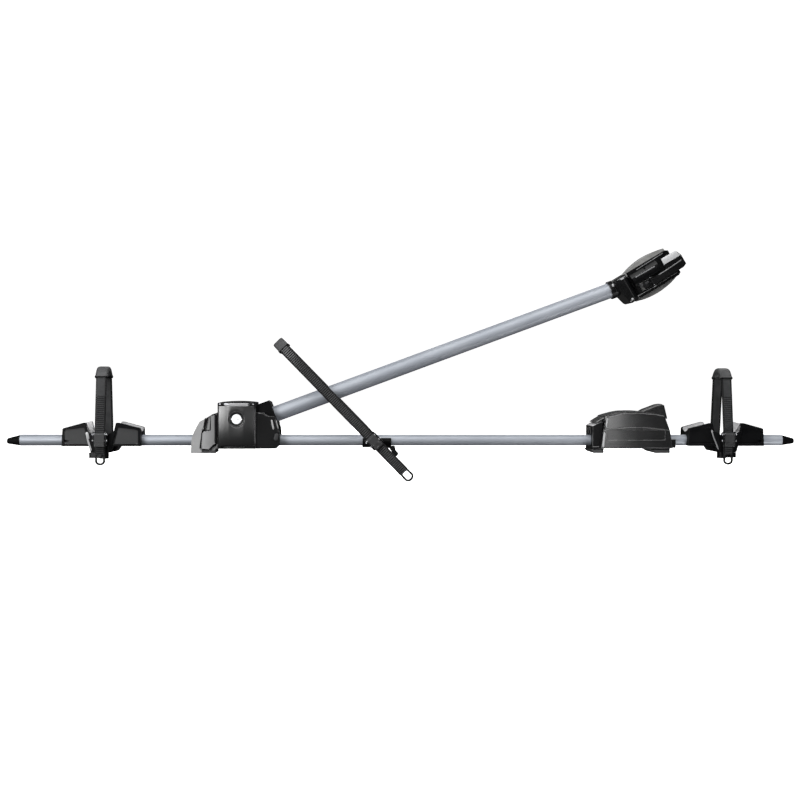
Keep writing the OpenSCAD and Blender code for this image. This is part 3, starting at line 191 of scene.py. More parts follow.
def tint(tree, shader, pattern, dark, light):
    """Base colour between two tones, as the pattern goes."""
    mix = wire(tree, "ShaderNodeMix", {"Factor": spread(tree, pattern, 0.0, 1.0)},
               data_type="RGBA")
    mix.inputs["A"].default_value = (*dark, 1.0)
    mix.inputs["B"].default_value = (*light, 1.0)
    tree.links.new(mix.outputs["Result"], shader.inputs["Base Color"])


def roughen(tree, shader, pattern, low, high):
    """Roughness between two values, as the pattern goes."""
    tree.links.new(spread(tree, pattern, low, high), shader.inputs["Roughness"])


def bump(tree, shader, height, distance, strength=1.0):
    """Feeds a height, in metres at the given distance, into the shader's normal."""
    node = wire(tree, "ShaderNodeBump",
                {"Height": height, "Distance": distance, "Strength": strength})
    tree.links.new(node.outputs["Normal"], shader.inputs["Normal"])


def anodised():
    """Satin blue-grey anodised tube: fine drawing lines along it and a slow change of tone."""
    mat, tree, shader = material("anodised_tube", (0.235, 0.25, 0.28), 0.5, 0.2)
    lines = noise(tree, 6.0, detail=2.0, stretch=(6.0, 260.0, 260.0))
    slow = noise(tree, 4.0, stretch=(3.0, 8.0, 8.0))
    tint(tree, shader, slow, (0.215, 0.232, 0.262), (0.255, 0.272, 0.302))
    roughen(tree, shader, lines, 0.44, 0.56)
    bump(tree, shader, lines, 0.00002, 0.5)
    return mat


def moulded(name, dark, light, rough, grain=0.000008, scale=1800.0, specular=0.5):
    """Moulded plastic with a fine spark-eroded grain and slightly uneven gloss."""
    mat, tree, shader = material(name, light, rough)
    shader.inputs["Specular IOR Level"].default_value = specular
    patches = noise(tree, 28.0)
    tint(tree, shader, patches, dark, light)
    roughen(tree, shader, patches, rough - 0.05, rough + 0.07)
    bump(tree, shader, noise(tree, scale, detail=2.0), grain)
    return mat


def glossy(name, dark, light, rough, specular=0.5):
    """Smooth moulded plastic with a faint ripple in its gloss."""
    mat, tree, shader = material(name, light, rough)
    shader.inputs["Specular IOR Level"].default_value = specular
    shader.inputs["Coat Weight"].default_value = 0.3 * specular
    shader.inputs["Coat Roughness"].default_value = 0.2
    ripple = noise(tree, 45.0)
    tint(tree, shader, ripple, dark, light)
    roughen(tree, shader, ripple, rough, rough + 0.03)
    bump(tree, shader, ripple, 0.00003, 0.3)
    return mat


def rubber(name, dark, light, rough):
    """Matt rubber with a soft bloom and a fine skin."""
    mat, tree, shader = material(name, light, rough)
    shader.inputs["Specular IOR Level"].default_value = 0.1
    tint(tree, shader, noise(tree, 60.0), dark, light)
    bump(tree, shader, noise(tree, 1400.0, detail=2.0), 0.00001)
    return mat


def plated(name, dark, light, rough, metal=0.85):
    """Plated steel with short rolling marks."""
    mat, tree, shader = material(name, light, rough, metal)
    marks = noise(tree, 4.0, stretch=(40.0, 400.0, 40.0))
    tint(tree, shader, marks, dark, light)
    roughen(tree, shader, marks, rough, rough + 0.12)
    bump(tree, shader, marks, 0.00002, 0.4)
    return mat


def shaded_along(mat, start, end, share):
    """Darkens a material's colour towards one end: multiplies it by a factor that falls from one
    to share between two places along X. This is painted light and shade: one end stays light and
    the rest is darkened."""
    tree = mat.node_tree
    shader = tree.nodes["Principled BSDF"]
    source = shader.inputs["Base Color"].links[0].from_socket
    along = wire(tree, "ShaderNodeSeparateXYZ", {"Vector": coordinates(tree)}).outputs["X"]
    factor = spread(tree, along, 1.0, share, start * MM, end * MM)
    scaled = wire(tree, "ShaderNodeVectorMath", {0: source, "Scale": factor}, operation="SCALE")
    tree.links.new(scaled.outputs["Vector"], shader.inputs["Base Color"])
    return mat


# Each material goes from a dark to a light tone, in linear red, green and blue
JET = ((0.003, 0.0031, 0.0034), (0.005, 0.0051, 0.0055))
COAL = ((0.003, 0.0031, 0.0034), (0.005, 0.0052, 0.0055))

# Finishes of the record's material slots
FINISH = {
    "rail_finish": anodised(),
    "black_plastic": moulded("black_plastic", *JET, 0.36, specular=0.1),
    "grey_plastic": moulded("grey_plastic", *JET, 0.36, specular=0.1),
    "gloss_black": glossy("gloss_black", (0.002, 0.0021, 0.0023), (0.004, 0.0041, 0.0044), 0.24,
                          0.1),
    "black_rubber": rubber("strap_rubber", (0.042, 0.0425, 0.0435), (0.06, 0.0605, 0.062), 0.6),
    "pad_rubber": rubber("pad_rubber", (0.16, 0.16, 0.157), (0.26, 0.26, 0.255), 0.5),
    "zinc_steel": plated("zinc_steel", (0.5, 0.51, 0.53), (0.68, 0.69, 0.72), 0.26),
    "lock_metal": plated("lock_metal", (0.8, 0.81, 0.83), (0.9, 0.91, 0.92), 0.3, 0.25),
}
# Slots whose rounded edges take the edge finish, a painted highlight
HIGHLIGHT_EDGE_SLOTS = ("black_plastic", "grey_plastic", "gloss_black")

# Whole pieces with a finish of their own
COVER_SHEEN = glossy("sheen_black", (0.004, 0.0041, 0.0044), (0.006, 0.0062, 0.0065), 0.24, 0.6)
FLAP_SHEEN = glossy("flap_sheen", *COAL, 0.3, 0.45)
SADDLE = moulded("saddle_plastic", *JET, 0.3, specular=0.03)
DARK_BRACKET = plated("dark_steel", (0.02, 0.0205, 0.0215), (0.035, 0.036, 0.038), 0.4, 0.4)

# Straps: ribs, the grooves between them in painted shade, polished margins and the pads' backs in
# painted light
WHEEL_STRAP = rubber("wheel_strap_rubber", (0.024, 0.0245, 0.0255), (0.036, 0.0365, 0.0378), 0.6)
WHEEL_GROOVE_SHADE = rubber("wheel_strap_groove", (0.008, 0.0082, 0.0086), (0.012, 0.0122, 0.0128), 0.7)
# The third strap's rubber is painted lighter over its upper end and darkened from X 112 mm on:
# painted light and shade
THIRD_STRAP = shaded_along(
    rubber("third_strap_rubber", (0.13, 0.131, 0.134), (0.17, 0.171, 0.174), 0.6),
    88.0, 112.0, 0.33)
GROOVE_SHADE_AND_SEAM = rubber("strap_groove", *COAL, 0.7)
STRAP_EDGE = glossy("strap_edge", (0.003, 0.0031, 0.0034), (0.006, 0.0062, 0.0065), 0.4, 0.1)
# The pads' backs: a greyer tone, painted light from above
LIT_CAP_TOP = rubber("cap_top_painted_light", (0.052, 0.0525, 0.054), (0.078, 0.0785, 0.08), 0.5)

# Single faces, edges and relief; most of these tones are painted highlights and painted light
# Rounded edges of black plastics: glossy, and painted ten times lighter than the plastic as a
# highlight along them
EDGE_HIGHLIGHT = glossy("gloss_and_painted_highlight_edge", (0.035, 0.0355, 0.0365), (0.05, 0.0505, 0.052), 0.26, 1.0)
PANEL = moulded("panel_plastic", (0.018, 0.0184, 0.0192), (0.026, 0.0264, 0.0275), 0.5,
                grain=0.00004, scale=1200.0, specular=0.2)
# The wing's sides take a pale tone, painted light from the left, with painted shade towards the
# tower
LIT_WING = shaded_along(
    moulded("wing_painted_light", (0.17, 0.171, 0.173), (0.24, 0.241, 0.243), 0.5, grain=0.0001,
            scale=900.0),
    -58.0, -38.0, 0.45)
# Pale painted highlights on faces and ridges where light glances off black plastic, and a painted
# reflection in the tyre grooves
PALE_HIGHLIGHT = moulded("pale_painted_highlight", (0.22, 0.22, 0.225), (0.34, 0.34, 0.345), 0.5)
LINE = glossy("catch_light", (0.1, 0.101, 0.104), (0.14, 0.142, 0.146), 0.3, 0.8)
# Bright painted highlights: the clamp lever's facet and small glints laid on strips
BRIGHT_HIGHLIGHT = glossy("bright_painted_highlight", (0.3, 0.303, 0.31), (0.36, 0.363, 0.37), 0.3)


# Mesh tools


def linked(name, data):
    """A new object of the scene, for a mesh, a light or a camera."""
    item = bpy.data.objects.new(name, data)
    bpy.context.scene.collection.objects.link(item)
    return item


def surface(name, rings, closed):
    """A smooth mesh from a grid of points, rings by points by three, in metres. closed says
    whether the rings join end to end and whether each ring closes on itself. Equal points are
    merged, and the faces are turned outwards."""
    rows, cols = rings.shape[:2]
    i, j = np.meshgrid(np.arange(rows if closed[0] else rows - 1),
                       np.arange(cols if closed[1] else cols - 1), indexing="ij")
    i1, j1 = (i + 1) % rows, (j + 1) % cols
    quads = np.stack([i * cols + j, i1 * cols + j, i1 * cols + j1, i * cols + j1], -1)
    mesh = bpy.data.meshes.new(name)
    mesh.from_pydata(rings.reshape(-1, 3), [], quads.reshape(-1, 4))
    work = bmesh.new()
    work.from_mesh(mesh)
    bmesh.ops.remove_doubles(work, verts=work.verts, dist=MERGE)
    bmesh.ops.recalc_face_normals(work, faces=work.faces)
    work.to_mesh(mesh)
    work.free()
    mesh.polygons.foreach_set("use_smooth", np.ones(len(mesh.polygons), bool))
    return linked(name, mesh)


def dress(piece, body, finish, node):
    """Gives a piece its finish and its body, and hides the CAD node it stands for."""
    piece.data.materials.append(FINISH[finish])
    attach(piece, body)
    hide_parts(node)
    return piece


def joined(name, *pieces):
    """One object from several, with their faces kept."""
    work = bmesh.new()
    for piece in pieces:
        work.from_mesh(piece.data)
    mesh = bpy.data.meshes.new(name)
    work.to_mesh(mesh)
    work.free()
    for piece in pieces:
        bpy.data.objects.remove(piece)
    return linked(name, mesh)


def rounded_rectangle(width, height, radius, flat, corner):
    """Closed outline of a rectangle with round corners: four quarter circles of corner points,
    whose ends are joined by straight sides of flat even steps."""
    quarter = np.linspace(0.0, np.pi / 2, corner)
    steps = np.linspace(0, 1, flat + 1)[1:-1, None]
    centres = np.array([(1, 1), (-1, 1), (-1, -1), (1, -1)]) * [width / 2 - radius,
                                                                height / 2 - radius]
    points = []
    for k in range(4):
        angle = quarter + k * np.pi / 2
        spoke = radius * np.stack([np.cos(angle), np.sin(angle)], 1)
        arc = centres[k] + spoke
        following = centres[(k + 1) % 4] + spoke[-1]
        points += [arc, arc[-1] + (following - arc[-1]) * steps]
    return np.concatenate(points)


def bell(x, low, high, soft):
    """One between low and high, zero outside, with smooth flanks as wide as soft."""
    rise = np.clip((x - low) / soft, 0, 1)
    fall = np.clip((high - x) / soft, 0, 1)
    return (rise * rise * (3 - 2 * rise)) * (fall * fall * (3 - 2 * fall))


def run_along(knots):
    """Distance along a line of straight steps, at each of its knots."""
    return np.concatenate([[0], np.cumsum(np.linalg.norm(np.diff(knots, axis=0), axis=1))])


def unit(vectors):
    """Rows of an array, each divided by its length."""
    return vectors / np.linalg.norm(vectors, axis=1)[:, None]


def capped(points):
    """A grid of rings with the middle of its first ring set before it and that of its last ring
    set after it, which closes both ends."""
    ends = [np.broadcast_to(points[k].mean(0), (1,) + points.shape[1:]) for k in (0, -1)]
    return np.concatenate([ends[0], points, ends[1]])


def holder_frame(x, turned):
    """Turn and place of a wheel holder's own frame, at x along the rail; a turned holder looks
    the other way along X."""
    turn = np.diag([-1.0 if turned else 1.0, 1, 1])
    return turn, np.array([x, 0.0, WHEEL_BUCKLE_Z])


def third_frame():
    """Turn and place of the third strap's own frame, which leans by its angle to the rail."""
    lean = np.radians(90 - THIRD_ANGLE)
    c, s = np.cos(lean), np.sin(lean)
    turn = np.array([[c, 0, -s], [0, 1, 0], [s, 0, c]])
    return turn, np.array([THIRD_X, 0.0, RAIL_Z])


def placed(points, turn, place):
    """Points in millimetres of a local frame as metres of the object's frame."""
    return (points @ turn.T + place) * MM


def softened(node, width, shape=None, slices=None):
    """A copy of a CAD node with its coplanar triangles joined and its sharp edges rounded off by
    width. shape bends all its points at once, in millimetres; slices first cuts the flat faces
    across X at even steps between two places, so that they can bend."""
    mesh = frame["nodes"][node].data.copy()
    work = bmesh.new()
    work.from_mesh(mesh)
    bmesh.ops.remove_doubles(work, verts=work.verts, dist=MERGE)
    bmesh.ops.dissolve_limit(work, angle_limit=np.radians(FLAT_ANGLE), verts=work.verts,
                             edges=work.edges)
    if slices:
        for x in np.linspace(*slices):
            everything = work.verts[:] + work.edges[:] + work.faces[:]
            bmesh.ops.bisect_plane(work, geom=everything, plane_co=(x * MM, 0, 0),
                                   plane_no=(1, 0, 0), dist=CUT_SNAP)
    work.to_mesh(mesh)
    work.free()
    mesh.materials.clear()
    mesh.polygons.foreach_set("material_index", np.zeros(len(mesh.polygons), np.int32))
    if shape:
        points = np.empty(len(mesh.vertices) * 3)
        mesh.vertices.foreach_get("co", points)
        bent = shape(points.reshape(-1, 3) / MM) * MM
        mesh.vertices.foreach_set("co", bent.ravel())
        mesh.update()
    mesh.polygons.foreach_set("use_smooth", np.ones(len(mesh.polygons), bool))
    piece = linked(node + "_dressed", mesh)
    edge = piece.modifiers.new("edge", "BEVEL")
    edge.width = width * MM
    edge.segments = 2
    edge.limit_method = "ANGLE"
    edge.angle_limit = np.radians(SHARP_ANGLE)
    # Normals weighted by area would lay bands over the flap's gentle crown
    if node != "front_flap":
        even = piece.modifiers.new("even", "WEIGHTED_NORMAL")
        even.keep_sharp = True
        even.weight = 80
    dress(piece, BODY_OF[node], SLOT_OF[node], node)
    # The rounded edges of black plastics take the edge finish: glossy, with a painted highlight
    if SLOT_OF[node] in HIGHLIGHT_EDGE_SLOTS:
        piece.data.materials.append(EDGE_HIGHLIGHT)
        edge.material = 1
    return piece


def faced(piece, second, chosen):
    """Gives a second finish to the faces that chosen picks, from arrays of the faces' middles in
    millimetres and their normals."""
    mesh = piece.data
    middles, normals = np.empty((2, len(mesh.polygons) * 3))
    mesh.polygons.foreach_get("center", middles)
    mesh.polygons.foreach_get("normal", normals)
    picked = chosen(middles.reshape(-1, 3) / MM, normals.reshape(-1, 3))
    index = np.zeros(len(mesh.polygons), np.int32)
    mesh.polygons.foreach_get("material_index", index)
    mesh.materials.append(second)
    index[picked] = len(mesh.materials) - 1
    mesh.polygons.foreach_set("material_index", index)


def strip(name, target, body, finish, width, sides, line):
    """A low moulded ridge or inlay laid on a piece's sides: a half-sunk rounded rectangle carried
    along a line given as X and Z, at the depth where the line meets the piece. It eases to
    nothing over its first and last stretch, as the square root of the distance from its end."""
    rise, step, ease, outside = 0.45, 1.2, 1.5, 0.2
    mesh = target.data
    corners = np.empty(len(mesh.vertices) * 3)
    mesh.vertices.foreach_get("co", corners)
    tree = BVHTree.FromPolygons(corners.reshape(-1, 3).tolist(),
                                [tuple(face.vertices) for face in mesh.polygons])
    knots = np.array(line, float)
    run = run_along(knots)
    s = np.linspace(0, run[-1], max(8, int(run[-1] / step)))
    x, z = np.interp(s, run, knots[:, 0]), np.interp(s, run, knots[:, 1])
    ends = np.sqrt(np.clip(np.minimum(s, run[-1] - s) / ease, 0.02, 1))
    ahead = unit(np.stack([np.gradient(x), np.gradient(z)], 1))
    section = rounded_rectangle(width, 2 * rise, min(rise, width / 2) * 0.8, flat=2, corner=3)
    pieces = []
    for side in sides:
        depth = np.full(len(s), np.nan)
        for k in range(len(s)):
            hit, *_ = tree.ray_cast(Vector((x[k] * MM, side * outside, z[k] * MM)),
                                    Vector((0, -side, 0)))
            if hit is not None:
                depth[k] = hit.y / MM
        known = ~np.isnan(depth)
        depth = np.interp(s, s[known], depth[known])
        across = section[None, :, 0] * ends[:, None]
        points = np.empty((len(s), len(section), 3))
        points[..., 0] = x[:, None] - ahead[:, None, 1] * across
        points[..., 1] = depth[:, None] + side * section[None, :, 1] * ends[:, None]
        points[..., 2] = z[:, None] + ahead[:, None, 0] * across
        pieces.append(surface(name, capped(points) * MM, closed=(False, True)))
    whole = joined(name, *pieces) if len(pieces) > 1 else pieces[0]
    whole.data.materials.append(finish)
    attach(whole, body)


# Straps


def strap_path(top, tail):
    """Centre line of a buckled strap in the plane across it, some points to each rib: up the far
    side, round a half circle under the pad, down the near side, through the buckle, down the
    tail. Straight runs and the half circle are joined, then the corners are eased by a moving
    average over span points each way."""
    bend = top - LOOP_R - STRAP_T / 2
    angle = np.radians(np.arange(0, 181, 5))
    arc = np.stack([LOOP_R * np.cos(angle), bend + LOOP_R * np.sin(angle)], 1)
    knots = np.concatenate([[[STRAP_Y, FAR_END_Z], [STRAP_Y, FAR_LEAN_Z]], arc,
                            [[-STRAP_Y, BUCKLE_HALF], [-STRAP_Y, -BUCKLE_HALF],
                             [-STRAP_Y, -BUCKLE_HALF - tail]]])
    run = run_along(knots)
    s = np.arange(0, run[-1], RIB_PITCH / POINTS_PER_RIB)
    line = np.stack([np.interp(s, run, knots[:, 0]), np.interp(s, run, knots[:, 1])], 1)
    span = 12
    padded = np.concatenate([np.repeat(line[:1], span, 0), line, np.repeat(line[-1:], span, 0)])
    kernel = np.ones(2 * span + 1) / (2 * span + 1)
    eased = np.stack([np.convolve(padded[:, k], kernel, "valid") for k in range(2)], 1)
    eased[:span], eased[-span:] = line[:span], line[-span:]
    return s, eased


def strap_band(name, top, tail, smooth, turn, place):
    """Ladder strap: a rounded rectangle carried along the strap's line. The middle of its outer
    side rises in a rib once a pitch, between two smooth margins, save within the smooth length
    below its top, and both ends close. A rib starts, ends and slopes at given shares of its
    pitch. The faces between two ribs take the second material."""
    rib_start, rib_end, rib_slope, margin_slope = 0.1, 0.66, 0.14, 0.5
    s, line = strap_path(top, tail)
    ahead = unit(np.gradient(line, axis=0))
    normal = np.stack([-ahead[:, 1], ahead[:, 0]], 1)
    outline = rounded_rectangle(STRAP_WIDTH, STRAP_T, STRAP_CORNER, flat=9, corner=4)
    across, depth = outline[:, 0], outline[:, 1]
    ribbed = line[:, 1] < top - smooth
    rib = bell((s / RIB_PITCH) % 1.0, rib_start, rib_end, rib_slope) * RIB_HEIGHT * ribbed
    inner = bell(across, -STRAP_WIDTH / 2 + SMOOTH_MARGIN, STRAP_WIDTH / 2 - SMOOTH_MARGIN,
                 margin_slope) * (depth > 0)
    offset = depth[None, :] + rib[:, None] * inner[None, :]
    points = np.empty((len(s), len(outline), 3))
    points[..., 0] = across[None, :]
    points[..., 1] = line[:, None, 0] - normal[:, None, 0] * offset
    points[..., 2] = line[:, None, 1] - normal[:, None, 1] * offset
    band = surface(name, placed(capped(points), turn, place), closed=(False, True))
    # Faces between two ribs take the groove finish, a painted shade
    low = (rib[:-1] + rib[1:] < RIB_HEIGHT) & ribbed[1:]
    low = np.concatenate([[False], low, [False]])
    middle = inner > 0.5
    groove = low[:, None] & (middle & np.roll(middle, -1))[None, :]
    band.data.polygons.foreach_set("material_index", groove.ravel().astype(np.int32))
    return band


def pull_ring(name, tail, half, turn, place):
    """Ring at the tail's end: a rounded section carried round a loop half as wide as given,
    whose bottom is a half ellipse and whose top is a flatter one just above the tail's end."""
    overlap, flatness = 1.5, 0.45
    tail_end = -BUCKLE_HALF - tail
    half_width = half - RING_STROKE / 2
    half_height = RING_R - RING_STROKE / 2
    ring_z = tail_end - RING_R * 1.5
    low = np.radians(np.linspace(180, 360, 25))
    high = np.radians(np.linspace(0, 180, 13))[1:-1]
    loop = np.concatenate([
        np.stack([half_width * np.cos(low), ring_z + half_height * np.sin(low)], 1),
        np.stack([half_width * np.cos(high),
                  tail_end - overlap + flatness * half_height * np.sin(high)], 1)])
    ahead = unit(np.roll(loop, -1, 0) - np.roll(loop, 1, 0))
    side = np.stack([ahead[:, 1], -ahead[:, 0]], 1)
    section = rounded_rectangle(RING_STROKE, RING_T, 1.0, flat=2, corner=4)
    points = np.empty((len(loop), len(section), 3))
    points[..., 0] = loop[:, None, 0] + side[:, None, 0] * section[None, :, 0]
    points[..., 1] = -STRAP_Y + section[None, :, 1]
    points[..., 2] = loop[:, None, 1] + side[:, None, 1] * section[None, :, 0]
    return surface(name, placed(points, turn, place), closed=(True, True))


def strap_cap(name, top, turn, place):
    """Soft pad over the strap's bend: a rounded rectangle carried round the bend by an angle.
    Its outer side swells towards the crown and its inner side fills the bend, both as cosines of
    the angle. Both ends flare into a lip, and close in rings shrunk by the given shares."""
    reach, lip_start, lip_end, lip_slope = 66, 56, 80, 8
    wall, side_wall, swell, fill, outer_lip, inner_lip = 1.7, 1.2, 0.2, 4.0, 0.9, 0.6
    bend = top - LOOP_R - STRAP_T / 2
    theta = np.radians(np.linspace(-reach, reach, 61))
    flare = bell(np.abs(np.degrees(theta)), lip_start, lip_end, lip_slope)
    outline = rounded_rectangle(1.0, 1.0, 0.22, flat=5, corner=5)
    half = STRAP_WIDTH / 2 + side_wall + outer_lip * flare
    outer = LOOP_R + STRAP_T / 2 + wall + swell * np.cos(theta * 1.4) + outer_lip * flare
    inner = LOOP_R - STRAP_T / 2 - fill * np.cos(theta * 0.8) - inner_lip * flare
    x = outline[None, :, 0] * 2 * half[:, None]
    middle, thick = (outer + inner) / 2, outer - inner
    radial = middle[:, None] + outline[None, :, 1] * thick[:, None]
    points = np.stack([x, -radial * np.sin(theta)[:, None],
                       bend + radial * np.cos(theta)[:, None]], -1)
    shrink = np.array([0.0, 0.8, 0.95])[:, None, None]
    first, last = points[0].mean(0), points[-1].mean(0)
    points = np.concatenate([first + (points[0] - first) * shrink, points,
                             (last + (points[-1] - last) * shrink)[::-1]])
    return surface(name, placed(points, turn, place), closed=(False, True))


def strap_set(prefix, body, top, tail, smooth, ring_half, rib, groove, turn, place):
    """One strap with its pull ring and its pad. The strap's margins, its ring and the pad's ends
    are polished, and the pad's back is greyer than its sides: painted light from above."""
    across, up = turn[:, 0], turn[:, 2]
    ring_top = -BUCKLE_HALF - 0.5 - tail
    pad_back = top - LOOP_R + 7.0
    pad_ends = top - LOOP_R - STRAP_T / 2 + 13.5
    band = strap_band(prefix + "_strap_band", top, tail, smooth, turn, place)
    ring = pull_ring(prefix + "_ring", tail, ring_half, turn, place)
    whole = dress(joined(prefix + "_strap_rubber", band, ring), body, "black_rubber",
                  prefix + "_strap")
    whole.data.materials[0] = rib
    whole.data.materials.append(groove)
    faced(whole, STRAP_EDGE, lambda middle, normal:
          (np.abs((middle - place) @ across) > STRAP_WIDTH / 2 - POLISHED_MARGIN)
          | ((middle - place) @ up < ring_top))
    cap = dress(strap_cap(prefix + "_strap_cap", top, turn, place), body, "black_rubber",
                prefix + "_strap_pad")
    faced(cap, LIT_CAP_TOP, lambda middle, normal:
          (np.abs((middle - place) @ across) < STRAP_WIDTH / 2 - 1.0)
          & ((middle - place) @ up > pad_back))
    faced(cap, STRAP_EDGE, lambda middle, normal: (middle - place) @ up < pad_ends)


for prefix, x, turned in (("front", FRONT_HOLDER_X, False), ("rear", REAR_HOLDER_X, True)):
    strap_set(prefix, prefix + "_holder", WHEEL_STRAP_TOP - WHEEL_BUCKLE_Z, WHEEL_TAIL,
              WHEEL_SMOOTH, WHEEL_RING_HALF, WHEEL_STRAP, WHEEL_GROOVE_SHADE, *holder_frame(x, turned))
strap_set("third", "third_holder", THIRD_LENGTH, THIRD_TAIL, THIRD_SMOOTH, STRAP_WIDTH / 2,
          THIRD_STRAP, GROOVE_SHADE_AND_SEAM, *third_frame())


# Rail caps


def rail_cap(name, x0, x1, node):
    """End cap: an oval section that narrows and drops a little from the tube's end to the tip,
    with its last few millimetres rounded in. s is the share of its length; the section is a
    circle whose cosine and sine are raised to a power, which fills its corners."""
    collar, rounded, drop, power = 0.05, 0.1, 1.4, 0.62
    s = np.concatenate([[0.0, 0.04, collar], np.linspace(0.1, 0.93, 12),
                        1 - 0.07 * (1 - np.sin(np.linspace(0.2, 1.57, 7))), [1.0]])
    taper = np.clip((s - collar) / (1 - collar), 0, 1)
    edge = np.sqrt(np.clip(1 - np.clip((s - 0.9) / rounded, 0, 1) ** 2, 0, 1))
    height = (RAIL_HEIGHT - CAP_FIT) * (1 - 0.5 * taper) * (0.25 + 0.75 * edge)
    width = (RAIL_WIDTH - CAP_FIT) * (1 - 0.4 * taper) * (0.55 + 0.45 * edge)
    height[[0, -1]] = width[[0, -1]] = 0.0
    angle = np.linspace(0, 2 * np.pi, 48, endpoint=False)
    c, si = np.cos(angle), np.sin(angle)
    y = np.sign(c) * np.abs(c) ** power / 2
    z = np.sign(si) * np.abs(si) ** power / 2
    points = np.empty((len(s), len(angle), 3))
    points[..., 0] = (x0 + (x1 - x0) * s)[:, None]
    points[..., 1] = width[:, None] * y[None, :]
    points[..., 2] = (RAIL_Z - drop * taper)[:, None] + height[:, None] * z[None, :]
    dress(surface(name, points * MM, closed=(False, True)), "front_foot", "gloss_black", node)


rail_cap("front_end_cap", RAIL_X0 + CAP_LENGTH, RAIL_X0, "rail_cap_front")
rail_cap("rear_end_cap", RAIL_X0 + RAIL_LENGTH - CAP_LENGTH, RAIL_X0 + RAIL_LENGTH,
         "rail_cap_rear")


# Other moulded pieces keep their CAD shape, with their edges rounded. The flat sides of the
# housings are crowned or drawn in a little, as moulded sides are.


def drawn_in(points, amount, reach):
    """Points with their distance from the middle plane lessened by amount, where that distance
    is over reach; the change fades in over the next ten millimetres."""
    share = np.clip((np.abs(points[:, 1]) - reach) / 10.0, 0, 1)
    out = points.copy()
    out[:, 1] -= np.sign(points[:, 1]) * amount * share
    return out


def wing_bend(points):
    """The wing narrows towards its front end: eight millimetres a side, as a smooth ramp ahead
    of the tower; the tower keeps its depth."""
    narrowing, curve, reach = 8.0, 1.15, 18.0
    t = np.clip((TOWER_X - points[:, 0]) / WING_LENGTH, 0, 1)
    return drawn_in(points, narrowing * t ** curve, reach)


def side_bend(points):
    """A side cover narrows towards the arm: three millimetres, growing with distance."""
    start, length, narrowing, reach = 33.0, 42.0, 3.0, 26.0
    t = np.clip((points[:, 0] - start) / length, 0, 1)
    return drawn_in(points, narrowing * t, reach)


def flap_bend(points):
    """The flap's outer face lies on a true circle, and it is bowed: its left half and its upper
    half fall back by two parabolas, each about a millimetre deep."""
    facet_depth, left_fall, upper_fall = 0.06, 0.7, 1.0
    out = points.copy()
    crown = FLAP_FRONT + FLAP_CROWN_R - np.sqrt(FLAP_CROWN_R ** 2 - points[:, 0] ** 2)
    out[:, 1] = np.where(np.abs(points[:, 1] - crown) < facet_depth, crown, points[:, 1])
    left = np.minimum(points[:, 0], 0) / FLAP_HALF
    upper = np.clip(points[:, 2] - FLAP_MIDDLE_Z, 0, FLAP_MIDDLE_Z) / FLAP_MIDDLE_Z
    out[:, 1] += left_fall * left ** 2
    out[:, 1] += upper_fall * upper ** 2
    return out


def cover_bend(points):
    """The cover's sides are bowed along X: they fall back by a parabola about a line a third of
    the way from the rear end, and a little with height. Their inner faces follow less, which
    leaves the knobs their room."""
    crest, half_length, shoulder_z, shoulder_height = 30.0, 80.0, 38.0, 28.0
    bow, lean, room, reach = 4.2, 1.5, 1.2, 22.0
    t = (points[:, 0] - REAR_FOOT_X - crest) / half_length
    rise = np.clip((points[:, 2] - shoulder_z) / shoulder_height, 0, 1)
    amount = bow * t * t + lean * rise
    inside = np.abs(points[:, 1]) < COVER_INNER + 0.2
    amount = np.where(inside, np.maximum(amount - room, 0), amount)
    return drawn_in(points, amount, reach)


def lock_bend(points):
    """The grip across the lock's face is drawn in towards the disc, and its ends taper."""
    disc_r, pull, taper = 7.5, 0.5, 0.16
    beyond = np.maximum(np.abs(points[:, 0]) - disc_r, 0)
    out = points.copy()
    out[:, 0] -= np.sign(points[:, 0]) * pull * beyond
    out[:, 2] = LOCK_Z + (points[:, 2] - LOCK_Z) * (1 - taper * beyond)
    return out


def holder_bend(place):
    """The sides of a wheel holder fall back towards both ends, by a parabola."""
    bow, reach = 1.6, 19.0

    def bend(points):
        t = (points[:, 0] - place) / HOLDER_HALF
        return drawn_in(points, bow * t * t, reach)
    return bend


def holder_slices(place):
    """Cuts over a wheel holder's length: from, to and how many."""
    return place - 66.0, place + 66.0, 17


# Width of the rounded edges
ROUNDED = {
    "arm_knuckle": 1.6, "head_collar": 0.5, "head_body": 1.2, "near_jaw": 1.0,
    "clamp_lever": 1.3, "rear_base": 1.2, "front_buckle_base": 0.4, "rear_buckle_base": 0.4,
    "third_buckle_base": 0.4, "front_buckle_lever": 0.35, "rear_buckle_lever": 0.35,
    "third_buckle_lever": 0.35, "front_clamp_handle": 2.0, "rear_clamp_handle": 2.0,
    "third_clip": 0.8, "near_jaw_pad": 0.8, "far_jaw_pad": 0.8, "rear_leg_pads": 0.8,
    "tie_rod": 0.5,
}

